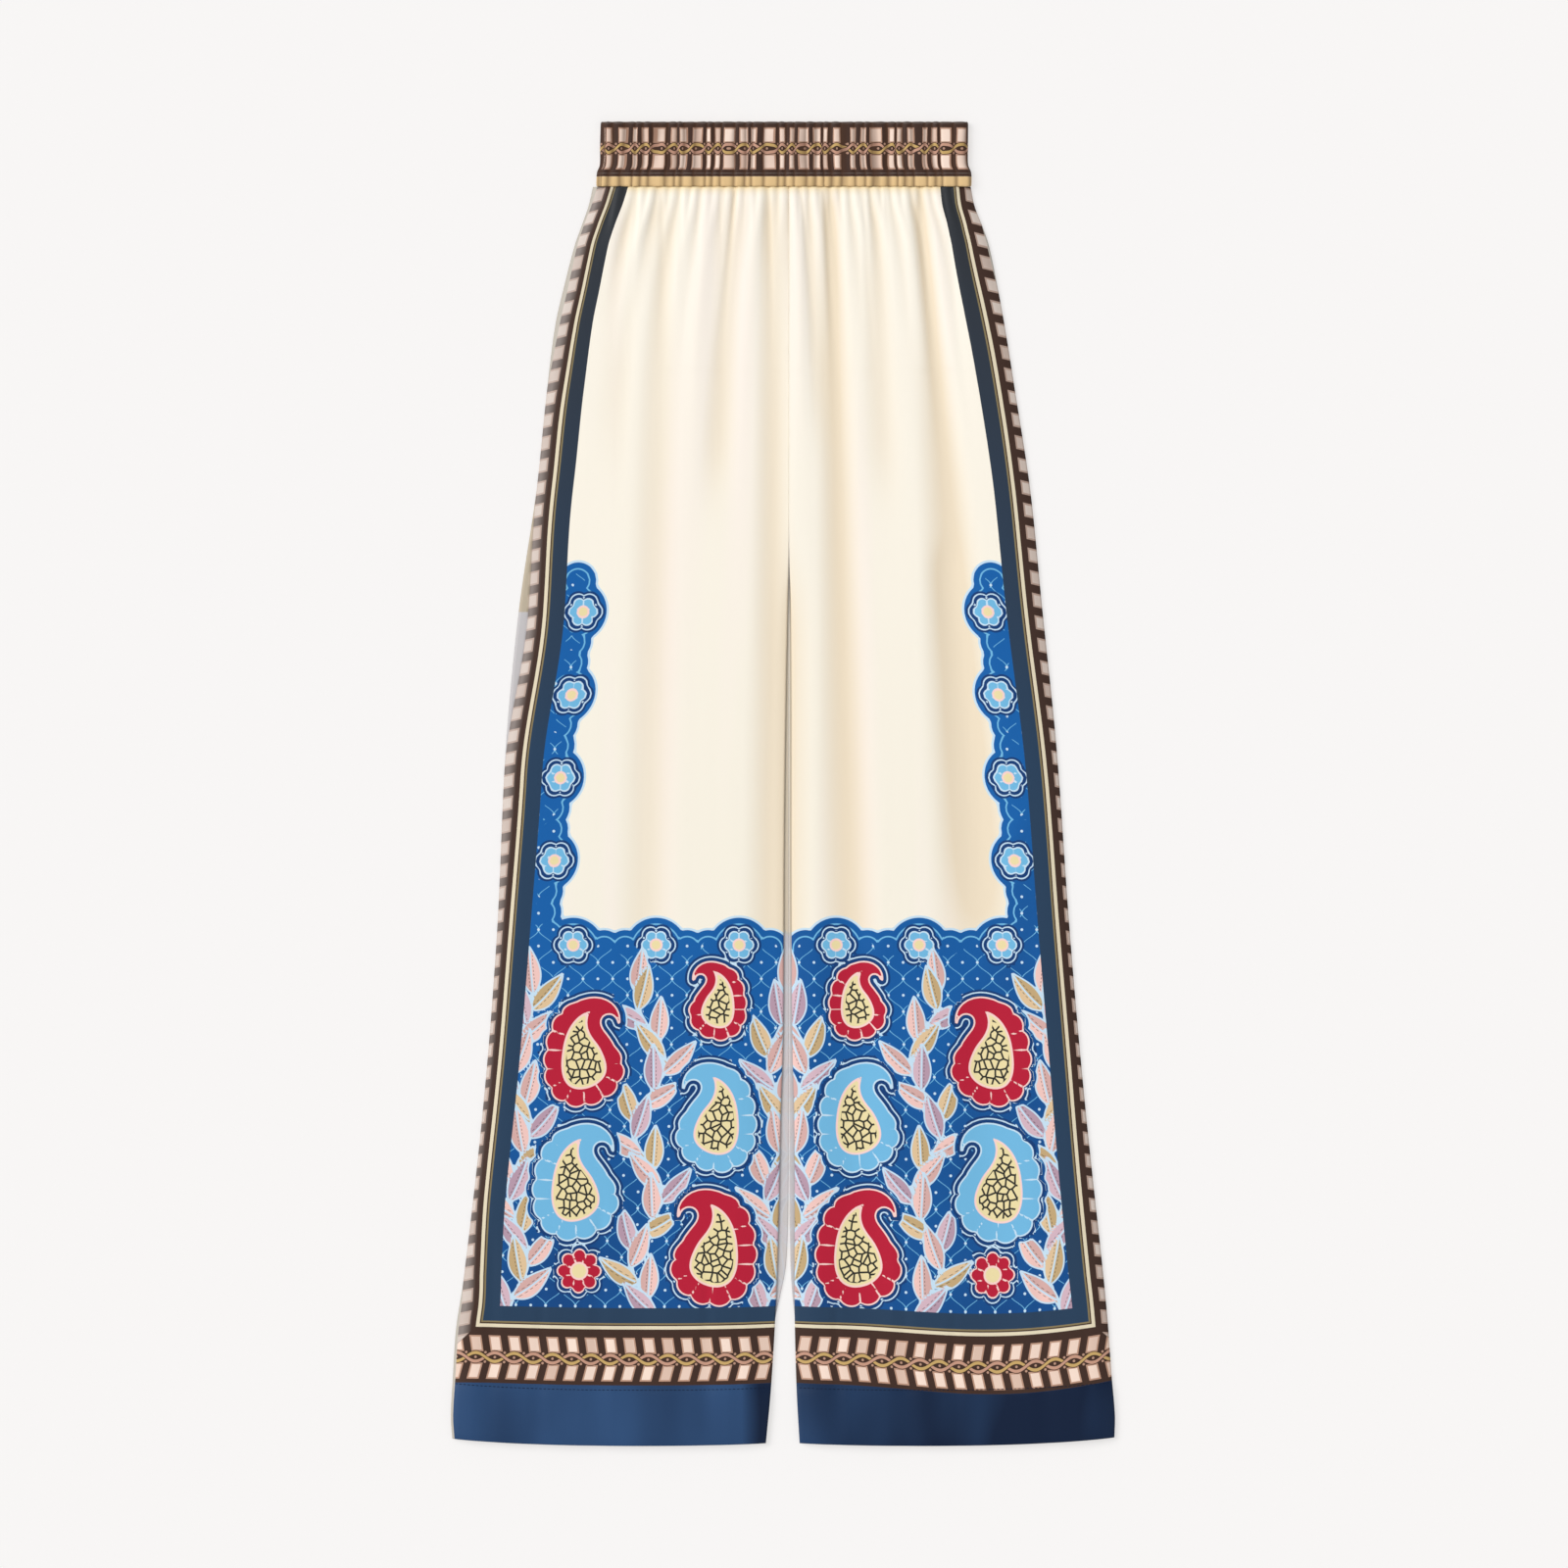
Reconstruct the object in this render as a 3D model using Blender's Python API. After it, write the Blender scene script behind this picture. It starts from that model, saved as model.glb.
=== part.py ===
"""Palazzo pants: pull-on, wide-legged trousers in light silk, laid flat on their back.

The plane z = 0 is the surface that they lie on, +Y points to the waist and +X to the wearer's left.
Sizes are in millimetres, and "drop" is the distance below the top edge of the waistband.
A leg is a front panel lying on a back panel. Both hang from a casing that holds the elastic.
"""

import math
import random
from collections import namedtuple

import bmesh
import bpy

MM = 0.001

# ---- Driving dimensions ----
LENGTH = 1070.0  # from the top of the waistband to the line that the hem curves up from
BAND_DEPTH = 52.5  # the elastic casing, from its folded top edge to the seam under it
CROTCH_DROP = 350.0
HEM_DEPTH = 45.0  # turned up once and stitched, so the cloth there is double
SEAM_GAP = 0.3  # left between two pieces that are sewn together
WAIST_SEAM = BAND_DEPTH + SEAM_GAP
CLOTH = 1.0  # wall of a single layer
HEM_CLOTH = 1.6  # wall of the doubled hem
BAND_WALL = 2.0  # two layers of cloth with the elastic between them
BAND_THICKNESS = 7.0  # both sides of the flattened casing

# ---- Lay of the cloth ----
WAIST_LOFT = 3.2  # how far a front panel stands off the back panel at the waist seam
LEG_LOFT = 3.7  # and further down
LOFT_RISE = 70.0  # drop below the seam over which it grows
EDGE_ROUND = 22.0  # width over which a front panel curves down to its side seam
CURL = 0.6  # how far the back panel's seam edge is lifted off the surface
CURL_WIDTH = 8.0
FINE_GATHERS = 18  # gathers stitched into the casing, on each front panel
FINE_HEIGHT = 1.8
DEEP_GATHERS = 9  # the pairs that they run together into, further down
DEEP_HEIGHT = 2.0
DEEP_START = 26.0  # drop below the seam at which those are full
BAND_RUCHES = 36  # ridges across the front of the casing
RUCHE_HEIGHT = 0.9
HEM_FADE = 370.0  # length over which the hem's curve reaches up the leg
BACK_SHOWS = 8.0  # how far the back panel of the wearer's right leg stands out past the front one
BACK_SHOWS_DROP = 410.0
BACK_SHOWS_LENGTH = 120.0  # above and below that drop

CREAM = (0.955, 0.900, 0.790, 1.0)
BROWN = (0.115, 0.060, 0.045, 1.0)

# Distance from the centre line to each side seam.
SideRow = namedtuple("SideRow", "drop wearer_right wearer_left")
SIDE_SEAM = [
    SideRow(WAIST_SEAM, 154.4, 150.9),
    SideRow(68.0, 158.0, 154.0),
    SideRow(84.0, 163.6, 160.2),
    SideRow(100.0, 169.2, 165.6),
    SideRow(132.0, 177.5, 172.3),
    SideRow(164.0, 184.8, 178.2),
    SideRow(219.0, 191.8, 187.0),
    SideRow(298.0, 200.1, 199.1),
    SideRow(394.0, 214.2, 208.8),
    SideRow(505.0, 224.8, 220.2),
    SideRow(656.0, 232.0, 231.1),
    SideRow(798.0, 243.2, 243.6),
    SideRow(940.0, 259.0, 258.4),
    SideRow(980.0, 265.0, 262.0),
    SideRow(1020.0, 267.6, 264.8),
    SideRow(1052.0, 269.2, 267.4),
    SideRow(LENGTH, 268.0, 267.0),
]

# Place of the inner edges: the centre seam down to the crotch, and the two inseams below it.
# The back panels are the wider ones down to the shin, so there they show between the fronts.
InnerRow = namedtuple("InnerRow", "drop wearer_right wearer_left")
BACK_INNER_EDGE = [
    InnerRow(WAIST_SEAM, 3.85, 4.15),
    InnerRow(300.0, 3.85, 4.15),
    InnerRow(CROTCH_DROP, 3.7, 4.3),
    InnerRow(457.0, 3.6, 4.4),
    InnerRow(720.0, 3.6, 4.4),
    InnerRow(870.0, 3.4, 4.6),
    InnerRow(925.0, 1.6, 5.2),
    InnerRow(950.0, -3.0, 6.8),
    InnerRow(972.0, -7.4, 8.9),
    InnerRow(1027.0, -10.6, 10.2),
    InnerRow(LENGTH, -14.6, 12.6),
]
FRONT_INNER_EDGE = [
    InnerRow(WAIST_SEAM, 3.85, 4.15),
    InnerRow(300.0, 3.85, 4.15),
    InnerRow(CROTCH_DROP, 3.65, 4.35),
    InnerRow(390.0, 3.0, 5.4),
    InnerRow(457.0, 1.6, 6.0),
    InnerRow(590.0, -0.1, 6.0),
    InnerRow(700.0, -0.4, 6.3),
    InnerRow(757.0, -1.2, 7.0),
    InnerRow(805.0, -2.8, 8.3),
    InnerRow(880.0, -4.2, 8.7),
    InnerRow(963.0, -6.8, 8.6),
    InnerRow(1027.0, -10.6, 10.2),
    InnerRow(LENGTH, -14.6, 12.6),
]

# How far the hem sweeps up towards the side seam, and towards the inseam.
HEM_SWEEP = {"wearer_right": 6.0, "wearer_left": 7.0}
HEM_LIFT = 2.4

# Half-widths of the casing.
BandEdge = namedtuple("BandEdge", "drop wearer_right wearer_left")
BAND_EDGE = [
    BandEdge(0.0, 147.4, 148.0),
    BandEdge(20.0, 147.8, 148.0),
    BandEdge(35.0, 148.2, 148.4),
    BandEdge(41.0, 150.6, 150.9),
    BandEdge(BAND_DEPTH, 151.4, 151.2),
]

# The casing's wall, seen in section: depth is measured in from the outer face.
BandRow = namedtuple("BandRow", "drop depth ruche")
BAND_SECTION = [
    BandRow(0.0, 0.9, 0.3),
    BandRow(0.9, 0.2, 0.6),
    BandRow(4.0, 0.0, 0.9),
    BandRow(18.0, 0.0, 1.0),
    BandRow(35.0, 0.0, 1.0),
    BandRow(41.0, 0.0, 1.0),
    BandRow(49.5, 0.0, 0.9),
    BandRow(51.8, 0.2, 0.7),
    BandRow(BAND_DEPTH, 0.9, 0.4),
    BandRow(51.0, BAND_WALL, 0.0),
    BandRow(1.4, BAND_WALL, 0.0),
]
BAND_END_STEPS = 6  # round each end of the flattened casing
BAND_BACK_STEPS = 16  # along its underside

# Soft creases of the front, each along a line from its top to its foot.
Crease = namedtuple("Crease", "top_x top_drop foot_x foot_drop top_width foot_width depth")
CREASES = [
    Crease(-127.0, 70.0, -136.0, 230.0, 9.0, 18.0, 1.2),
    Crease(-98.0, 80.0, -120.0, 1010.0, 18.0, 34.0, 1.5),
    Crease(-41.0, 64.0, -53.0, 260.0, 9.0, 18.0, 2.0),
    Crease(-8.0, 78.0, -11.0, 1000.0, 14.0, 32.0, 2.3),
    Crease(17.0, 64.0, 28.0, 210.0, 7.0, 14.0, 1.3),
    Crease(38.0, 64.0, 61.0, 960.0, 12.0, 40.0, 2.9),
    Crease(73.0, 64.0, 80.0, 260.0, 8.0, 18.0, 1.4),
    Crease(110.0, 64.0, 160.0, 620.0, 11.0, 42.0, 3.1),
    Crease(160.0, 720.0, 172.0, 1010.0, 34.0, 42.0, 1.8),
]
CREASE_FADE = 60.0  # length over which a crease's ends die away
CREASE_LIMIT = 3.4  # creases that cross are no deeper than this together

# Drops of a front panel's sections, and how many strips each is divided into across its width.
Zone = namedtuple("Zone", "columns drops")
FRONT_ZONES = [
    Zone(FINE_GATHERS * 4, [WAIST_SEAM, 57.0, 65.0, 77.0, 93.0]),
    Zone(DEEP_GATHERS * 4, [112.0, 134.0, 160.0, 190.0, 225.0, 265.0, 308.0]),
    Zone(DEEP_GATHERS * 4, [CROTCH_DROP, 375.0, 410.0, 470.0, 535.0, 600.0, 665.0, 730.0, 798.0, 865.0]),
    Zone(DEEP_GATHERS * 4, [930.0, 960.0, 990.0, LENGTH - HEM_DEPTH - 1.0]),
    Zone(DEEP_GATHERS * 4, [LENGTH - HEM_DEPTH + 1.0, 1048.0, LENGTH]),
]
Section = namedtuple("Section", "lower upper")  # points along both faces of the wall
BACK_COLUMNS = 12
BACK_DROPS = [WAIST_SEAM, 68.0, 84.0, 100.0, 132.0, 164.0, 219.0, 260.0, 300.0, CROTCH_DROP, 375.0, 410.0]
BACK_DROPS += [470.0, 535.0, 600.0, 665.0, 730.0, 798.0, 865.0, 910.0, 930.0, 950.0, 970.0, 995.0]
BACK_DROPS += [LENGTH - HEM_DEPTH - 1.0, LENGTH - HEM_DEPTH + 1.0, 1048.0, LENGTH]


def between(rows, drop, column):
    """The named column at this drop, on a smooth curve through the table's rows."""
    values = [getattr(row, column) for row in rows]
    drops = [row.drop for row in rows]
    drop = min(max(drop, drops[0]), drops[-1])
    i = max(k for k in range(len(rows) - 1) if drops[k] <= drop)

    def slope(k):
        low, high = max(k - 1, 0), min(k + 1, len(rows) - 1)
        return (values[high] - values[low]) / (drops[high] - drops[low])

    span = drops[i + 1] - drops[i]
    t = (drop - drops[i]) / span
    start = (1 + 2 * t) * (1 - t) ** 2 * values[i] + t * (1 - t) ** 2 * span * slope(i)
    end = t * t * (3 - 2 * t) * values[i + 1] - t * t * (1 - t) * span * slope(i + 1)
    return start + end


def ease(t):
    """0 up to 1 with no sudden start or stop."""
    t = min(max(t, 0.0), 1.0)
    return t * t * (3 - 2 * t)


def bell(t):
    """1 at t = 0, falling to 0 at t = -1 and t = 1."""
    return math.cos(math.pi / 2 * t) ** 2 if abs(t) < 1 else 0.0


def wall_at(drop):
    """Thickness of the cloth: single, and double in the hem."""
    return HEM_CLOTH if drop > LENGTH - HEM_DEPTH else CLOTH


def back_edges(side, drop):
    """The back panel's inner and outer edge at this drop, as x."""
    outward = 1 if side == "wearer_left" else -1
    return between(BACK_INNER_EDGE, drop, side), outward * between(SIDE_SEAM, drop, side)


def front_edges(side, drop):
    """The front panel's inner and outer edge at this drop, as x."""
    inner = between(FRONT_INNER_EDGE, drop, side)
    outer = back_edges(side, drop)[1]
    if side == "wearer_right":
        outer += BACK_SHOWS * bell((drop - BACK_SHOWS_DROP) / BACK_SHOWS_LENGTH)
    return inner, outer


def below_crotch(drop):
    """0 where the panels of the two legs are joined, and 1 where each leg is a tube of its own."""
    return ease((drop - CROTCH_DROP) / 40.0)


def curl_at(from_inner, from_outer, drop):
    """Height of the back panel's underside, which is flat apart from its seam edges."""
    outer = 1 - ease(from_outer / CURL_WIDTH)
    inner = (1 - ease(from_inner / CURL_WIDTH)) * below_crotch(drop)
    return CURL * max(outer, inner)


def crease_at(x, drop):
    """Depth of the creases at a point of the front."""
    total = 0.0
    for c in CREASES:
        t = (drop - c.top_drop) / (c.foot_drop - c.top_drop)
        along = min(max(t, 0.0), 1.0)
        beyond = abs(t - along) * (c.foot_drop - c.top_drop)
        middle = c.top_x + (c.foot_x - c.top_x) * along
        width = c.top_width + (c.foot_width - c.top_width) * along
        total += c.depth * bell((x - middle) / width) * bell(beyond / CREASE_FADE)
    return min(total, CREASE_LIMIT)


def gather_lengths(side):
    """How far each gather of one front panel runs down before it dies away."""
    draw = random.Random(f"gathers {side}")
    fine = [draw.uniform(16.0, 36.0) for _ in range(FINE_GATHERS)]
    deep = [draw.uniform(60.0, 170.0) for _ in range(DEEP_GATHERS)]
    return fine, deep


def ridge(count, u, lengths, below_seam):
    """A row of rounded ridges, one for each gather, each fading at its own length."""
    i = min(int(u * count), count - 1)
    return math.sin(math.pi * u * count) ** 2 * math.exp(-((below_seam / lengths[i]) ** 2))


def front_height(side, u, x, drop, lengths):
    """Height of the middle of a front panel's wall."""
    inner, outer = front_edges(side, drop)
    rise_outer = math.sin(math.pi / 2 * min(abs(outer - x) / EDGE_ROUND, 1.0))
    rise_inner = math.sin(math.pi / 2 * min(abs(x - inner) / EDGE_ROUND, 1.0))
    rise_inner = 1 + (rise_inner - 1) * below_crotch(drop)
    below_seam = drop - WAIST_SEAM
    loft = WAIST_LOFT + (LEG_LOFT - WAIST_LOFT) * ease(below_seam / LOFT_RISE)
    fine = FINE_HEIGHT * ridge(FINE_GATHERS, u, lengths[0], below_seam)
    deep = DEEP_HEIGHT * ridge(DEEP_GATHERS, u, lengths[1], below_seam) * ease(below_seam / DEEP_START)
    crease = crease_at(x, drop) * ease(below_seam / 12.0)
    on_back_panel = CURL * (1 - rise_outer * rise_inner) + wall_at(drop) + SEAM_GAP
    return on_back_panel + wall_at(drop) / 2 + rise_outer * rise_inner * (loft - crease + fine + deep)


def sweep(side, u, drop):
    """How far this point is drawn up by the curve of the hem."""
    curve = HEM_SWEEP[side] * u**4 + HEM_LIFT * (1 - u) ** 5
    return curve * ease((drop - LENGTH + HEM_FADE) / HEM_FADE)


def front_sections(side):
    """Sections of a front panel, from the waist seam to the hem."""
    lengths = gather_lengths(side)
    sections = []
    for zone in FRONT_ZONES:
        for drop in zone.drops:
            inner, outer = front_edges(side, drop)
            section = Section([], [])
            for i in range(zone.columns + 1):
                u = i / zone.columns
                x = inner + (outer - inner) * u
                y = LENGTH / 2 - drop + sweep(side, u, drop)
                z = front_height(side, u, x, drop, lengths)
                du = 0.25 / zone.columns
                ahead = front_height(side, u + du, x + (outer - inner) * du, drop, lengths)
                behind = front_height(side, u - du, x - (outer - inner) * du, drop, lengths)
                slope = (ahead - behind) / (2 * du * (outer - inner))
                # The wall is measured square to the cloth, so where that slopes it is taller.
                half = wall_at(drop) / 2 * math.hypot(1, slope)
                section.lower.append((x, y, z - half))
                section.upper.append((x, y, z + half))
            sections.append(section)
    return sections


def back_sections(side):
    """Sections of a back panel, with points closer together near its seams."""
    sections = []
    for drop in BACK_DROPS:
        inner, outer = back_edges(side, drop)
        section = Section([], [])
        for i in range(BACK_COLUMNS + 1):
            u = (1 - math.cos(math.pi * i / BACK_COLUMNS)) / 2
            x = inner + (outer - inner) * u
            y = LENGTH / 2 - drop + sweep(side, u, drop)
            z = curl_at(abs(x - inner), abs(outer - x), drop)
            section.lower.append((x, y, z))
            section.upper.append((x, y, z + wall_at(drop)))
        sections.append(section)
    return sections


def band_ring(row):
    """One closed section round the casing: along its front, one end, its underside and the other end."""
    half_height = BAND_THICKNESS / 2
    radius = half_height - row.depth
    left = between(BAND_EDGE, row.drop, "wearer_left") - half_height
    right = -between(BAND_EDGE, row.drop, "wearer_right") + half_height
    y = LENGTH / 2 - row.drop
    ring = []
    front_steps = BAND_RUCHES * 4
    for i in range(front_steps):
        u = i / front_steps
        height = RUCHE_HEIGHT * row.ruche * math.sin(math.pi * u * BAND_RUCHES) ** 2
        ring.append((right + (left - right) * u, y, half_height + radius + height))
    for centre, turn, steps in ((left, 1, BAND_BACK_STEPS), (right, -1, 0)):
        for i in range(BAND_END_STEPS):
            angle = math.pi * i / BAND_END_STEPS
            x = centre + turn * radius * math.sin(angle)
            ring.append((x, y, half_height + turn * radius * math.cos(angle)))
        for i in range(steps):
            ring.append((left + (right - left) * i / steps, y, half_height - radius))
    return ring


def bridge(mesh, upper, lower):
    """Faces between two sections, which may have unlike numbers of points."""
    i = j = 0
    while i < len(upper) - 1 or j < len(lower) - 1:
        next_upper = (i + 1) / (len(upper) - 1)
        next_lower = (j + 1) / (len(lower) - 1)
        if abs(next_upper - next_lower) < 1e-9:
            mesh.faces.new((upper[i], lower[j], lower[j + 1], upper[i + 1]))
            i, j = i + 1, j + 1
        elif next_upper < next_lower:
            mesh.faces.new((upper[i], lower[j], upper[i + 1]))
            i += 1
        else:
            mesh.faces.new((upper[i], lower[j], lower[j + 1]))
            j += 1


def make_object(name, mesh, material, collection):
    """A smooth-shaded object in the garment's collection, from a bmesh in millimetres."""
    bmesh.ops.scale(mesh, vec=(MM, MM, MM), verts=mesh.verts)
    data = bpy.data.meshes.new(name)
    mesh.to_mesh(data)
    mesh.free()
    data.materials.append(material)
    data.shade_smooth()
    data.set_sharp_from_angle(angle=math.radians(50))
    made = bpy.data.objects.new(name, data)
    collection.objects.link(made)
    return made


def make_panel(name, sections, material, collection):
    """A panel's wall: its two faces through the sections, joined round the edge."""
    mesh = bmesh.new()
    outlines = []
    for face in ("lower", "upper"):
        rows = [[mesh.verts.new(point) for point in getattr(section, face)] for section in sections]
        for row, following in zip(rows, rows[1:]):
            bridge(mesh, row, following)
        outer = [row[-1] for row in rows[1:-1]]
        inner = [row[0] for row in rows[-2:0:-1]]
        outlines.append(rows[0] + outer + rows[-1][::-1] + inner)
    lower, upper = outlines
    for i in range(len(lower)):
        k = (i + 1) % len(lower)
        mesh.faces.new((lower[i], lower[k], upper[k], upper[i]))
    bmesh.ops.recalc_face_normals(mesh, faces=mesh.faces)
    return make_object(name, mesh, material, collection)


def make_waistband(material, collection):
    """The elastic casing: one strip joined into a ring, lying flat."""
    mesh = bmesh.new()
    rings = [[mesh.verts.new(point) for point in band_ring(row)] for row in BAND_SECTION]
    for ring, following in zip(rings, rings[1:] + rings[:1]):
        for i in range(len(ring)):
            k = (i + 1) % len(ring)
            mesh.faces.new((ring[i], following[i], following[k], ring[k]))
    bmesh.ops.recalc_face_normals(mesh, faces=mesh.faces)
    return make_object("waistband", mesh, material, collection)


def make_material(name, colour, roughness):
    """A plain cloth finish."""
    made = bpy.data.materials.new(name)
    made.use_nodes = True
    shader = made.node_tree.nodes["Principled BSDF"]
    shader.inputs["Base Color"].default_value = colour
    shader.inputs["Roughness"].default_value = roughness
    shader.inputs["Metallic"].default_value = 0.0
    made.diffuse_color = colour
    return made


def main():
    for old in list(bpy.data.objects):
        bpy.data.objects.remove(old, do_unlink=True)
    garment = bpy.data.collections.new("palazzo_pants")
    bpy.context.scene.collection.children.link(garment)
    silk = make_material("silk", CREAM, 0.5)
    casing = make_material("casing", BROWN, 0.55)
    for side in ("wearer_left", "wearer_right"):
        leg = side.replace("wearer_", "") + "_leg"
        make_panel(f"front_{leg}", front_sections(side), silk, garment)
        make_panel(f"back_{leg}", back_sections(side), silk, garment)
    make_waistband(casing, garment)


main()
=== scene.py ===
"""Looks of the palazzo pants: printed silk panels, the ruched waistband, stitches, light and camera.

Lengths are in millimetres until a mesh is made. "Drop" is the distance below the top of the
waistband, "height" is the distance above the hem's edge, and "side" is the wearer's.
"""

import math
from collections import namedtuple

import bpy
import numpy as np
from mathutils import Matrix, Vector
from mathutils.bvhtree import BVHTree


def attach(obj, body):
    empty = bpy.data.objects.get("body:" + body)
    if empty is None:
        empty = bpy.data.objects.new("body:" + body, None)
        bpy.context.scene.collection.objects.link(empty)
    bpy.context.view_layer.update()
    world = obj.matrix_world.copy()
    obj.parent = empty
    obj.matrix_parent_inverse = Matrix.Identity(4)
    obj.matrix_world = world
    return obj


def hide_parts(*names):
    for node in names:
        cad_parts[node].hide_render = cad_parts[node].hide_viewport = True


MM = 0.001


def table(kind, *rows):
    """Rows of plain numbers as named tuples of one kind."""
    return [kind(*row) for row in rows]


# ---- Sizes of the garment, as in the CAD ----
LENGTH = 1070.0
BAND_DEPTH = 52.5
BAND_THICKNESS = 7.0
BAND_WALL = 2.0
CROTCH_DROP = 350.0
HEM_DEPTH = 45.0
WAIST_SEAM = BAND_DEPTH + 0.1
HEM_SWEEP = {"left": 7.0, "right": 6.0}
HEM_LIFT = 2.4  # at the inseams
HEM_FADE = 370.0  # height at which the hem's curve has faded out
PRINT_SAG = 250.0  # height up to which the print runs a little low on the cloth
BACK_SHOWS = 8.0  # how far the right back panel shows past the front at the thigh
BACK_SHOWS_DROP = 410.0
BACK_SHOWS_LENGTH = 120.0
GATHERS = 18  # on each front panel
BAND_RUCHES = 36  # on each side
RUCHE_CLOTH = 11.9  # length of cloth in one ruche

SideRow = namedtuple("SideRow", "drop right left")
SIDE_SEAM = table(
    SideRow,
    (WAIST_SEAM, 154.4, 150.9),
    (68.0, 158.0, 154.0),
    (84.0, 163.6, 160.2),
    (100.0, 169.2, 165.6),
    (132.0, 177.5, 172.3),
    (164.0, 184.8, 178.2),
    (219.0, 191.8, 187.0),
    (298.0, 200.1, 199.1),
    (394.0, 214.2, 208.8),
    (505.0, 224.8, 220.2),
    (656.0, 232.0, 231.1),
    (798.0, 243.2, 243.6),
    (940.0, 259.0, 258.4),
    (980.0, 265.0, 262.0),
    (1020.0, 267.6, 264.8),
    (1052.0, 269.2, 267.4),
    (LENGTH, 268.0, 267.0),
)
BACK_INNER_EDGE = table(
    SideRow,
    (WAIST_SEAM, 3.98, 4.02),
    (300.0, 3.98, 4.02),
    (CROTCH_DROP, 3.9, 4.1),
    (457.0, 3.8, 4.2),
    (720.0, 3.8, 4.2),
    (870.0, 3.5, 4.5),
    (925.0, 1.6, 5.2),
    (950.0, -3.0, 6.8),
    (972.0, -7.4, 8.9),
    (1027.0, -10.6, 10.2),
    (LENGTH, -14.6, 12.6),
)
FRONT_INNER_EDGE = table(
    SideRow,
    (WAIST_SEAM, 3.98, 4.02),
    (300.0, 3.98, 4.02),
    (CROTCH_DROP, 3.7, 4.3),
    (390.0, 3.0, 5.4),
    (457.0, 1.6, 6.0),
    (590.0, -0.1, 6.0),
    (700.0, -0.4, 6.3),
    (757.0, -1.2, 7.0),
    (805.0, -2.8, 8.3),
    (880.0, -4.2, 8.7),
    (963.0, -6.8, 8.6),
    (1027.0, -10.6, 10.2),
    (LENGTH, -14.6, 12.6),
)
BAND_EDGE = table(
    SideRow,
    (0.0, 147.4, 148.0),
    (20.0, 147.8, 148.0),
    (35.0, 148.2, 148.4),
    (41.0, 150.6, 150.9),
    (BAND_DEPTH, 151.4, 151.2),
)
FRAME_EDGE = table(  # from the side seam to the inner line of the printed frame
    SideRow,
    (WAIST_SEAM, 28.5, 24.6),
    (75.0, 26.8, 26.8),
    (95.0, 27.0, 29.6),
    (115.0, 28.2, 30.9),
    (150.0, 29.8, 30.9),
    (190.0, 30.1, 29.8),
    (230.0, 29.7, 29.2),
    (290.0, 29.5, 29.5),
    (345.0, 29.2, 29.7),
    (424.0, 29.7, 29.0),
    (535.0, 30.7, 26.2),
    (646.0, 27.0, 25.5),
    (757.0, 26.1, 25.6),
    (868.0, 25.9, 27.4),
    (932.0, 29.8, 28.0),
    (965.0, 32.8, 27.6),
    (LENGTH, 32.8, 27.6),
)
FRAME_GATHER = table(  # how much narrower its stripes look for the gathers they run through
    SideRow,
    (WAIST_SEAM, 1.24, 1.15),
    (91.0, 1.24, 1.10),
    (155.0, 1.18, 0.97),
    (238.0, 1.0, 0.97),
    (300.0, 1.0, 1.0),
    (LENGTH, 1.0, 1.0),
)

# ---- The cloth ----
SILK = 0.5  # thickness of the panels' shells
TWILL_PITCH = 0.8
SEAM_DIP = 1.28  # how far the front comes down to the back at its side seam
Zone = namedtuple("Zone", "start end step")
FRONT_ROWS = [Zone(WAIST_SEAM, 200, 2.3), Zone(200, 370, 5.5), Zone(370, 640, 3.4), Zone(640, LENGTH, 2.2)]
BACK_ROWS = [Zone(WAIST_SEAM, 200, 3.2), Zone(200, 370, 7.0), Zone(370, 640, 4.6), Zone(640, LENGTH, 2.9)]
FRONT_COLUMNS = 128
BACK_COLUMNS = 96
INNER_COLUMNS = [0.25, 0.5, 0.75]  # more of them within the first column, for the roll of the inseam

# Narrow creases that the gathers throw, and the soft ripples of the hem.
Crease = namedtuple("Crease", "top_x top_drop foot_x foot_drop top_width foot_width depth")
WAIST_CREASES = table(
    Crease,
    (-138, 53, -146, 118, 2.2, 5.0, 0.4),
    (-118, 53, -125, 140, 2.4, 6.0, 0.6),
    (-99, 53, -98, 165, 2.6, 8.0, 0.6),
    (-84, 53, -83, 118, 2.2, 5.0, 0.5),
    (-69, 53, -70, 96, 2.0, 4.0, 0.4),
    (-52, 53, -51, 104, 2.0, 3.5, 0.5),
    (-39, 53, -52, 185, 2.6, 7.0, 1.2),
    (-28, 53, -28, 112, 2.2, 5.0, 0.5),
    (-12, 53, -11, 165, 2.4, 6.0, 0.8),
    (14, 53, 23, 165, 2.2, 5.0, 0.7),
    (32, 53, 43, 225, 2.8, 8.0, 1.0),
    (45, 53, 47, 92, 2.0, 4.0, 0.4),
    (64, 53, 71, 190, 2.8, 7.0, 0.8),
    (82, 53, 85, 112, 2.0, 4.0, 0.5),
    (109, 53, 125, 235, 4.0, 10.0, 1.0),
    (129, 53, 137, 128, 2.2, 5.0, 0.5),
)
HEM_RIPPLES = table(
    Crease,
    (-236, 930, -240, 1062, 8, 15, 0.7),
    (-196, 965, -200, 1066, 7, 12, 0.6),
    (-148, 900, -152, 1066, 8, 16, 0.8),
    (-62, 950, -64, 1066, 7, 14, 0.7),
    (-38, 985, -37, 1066, 6, 10, 0.5),
    (42, 975, 42, 1066, 6, 11, 0.6),
    (96, 920, 98, 1066, 8, 16, 0.8),
    (137, 980, 139, 1066, 6, 11, 0.5),
    (206, 940, 212, 1066, 8, 15, 0.7),
    (243, 985, 247, 1062, 6, 10, 0.5),
)
BROAD_FOLDS = [Crease(130, 370, 154, 660, 22, 42, 1.5)]
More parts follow.
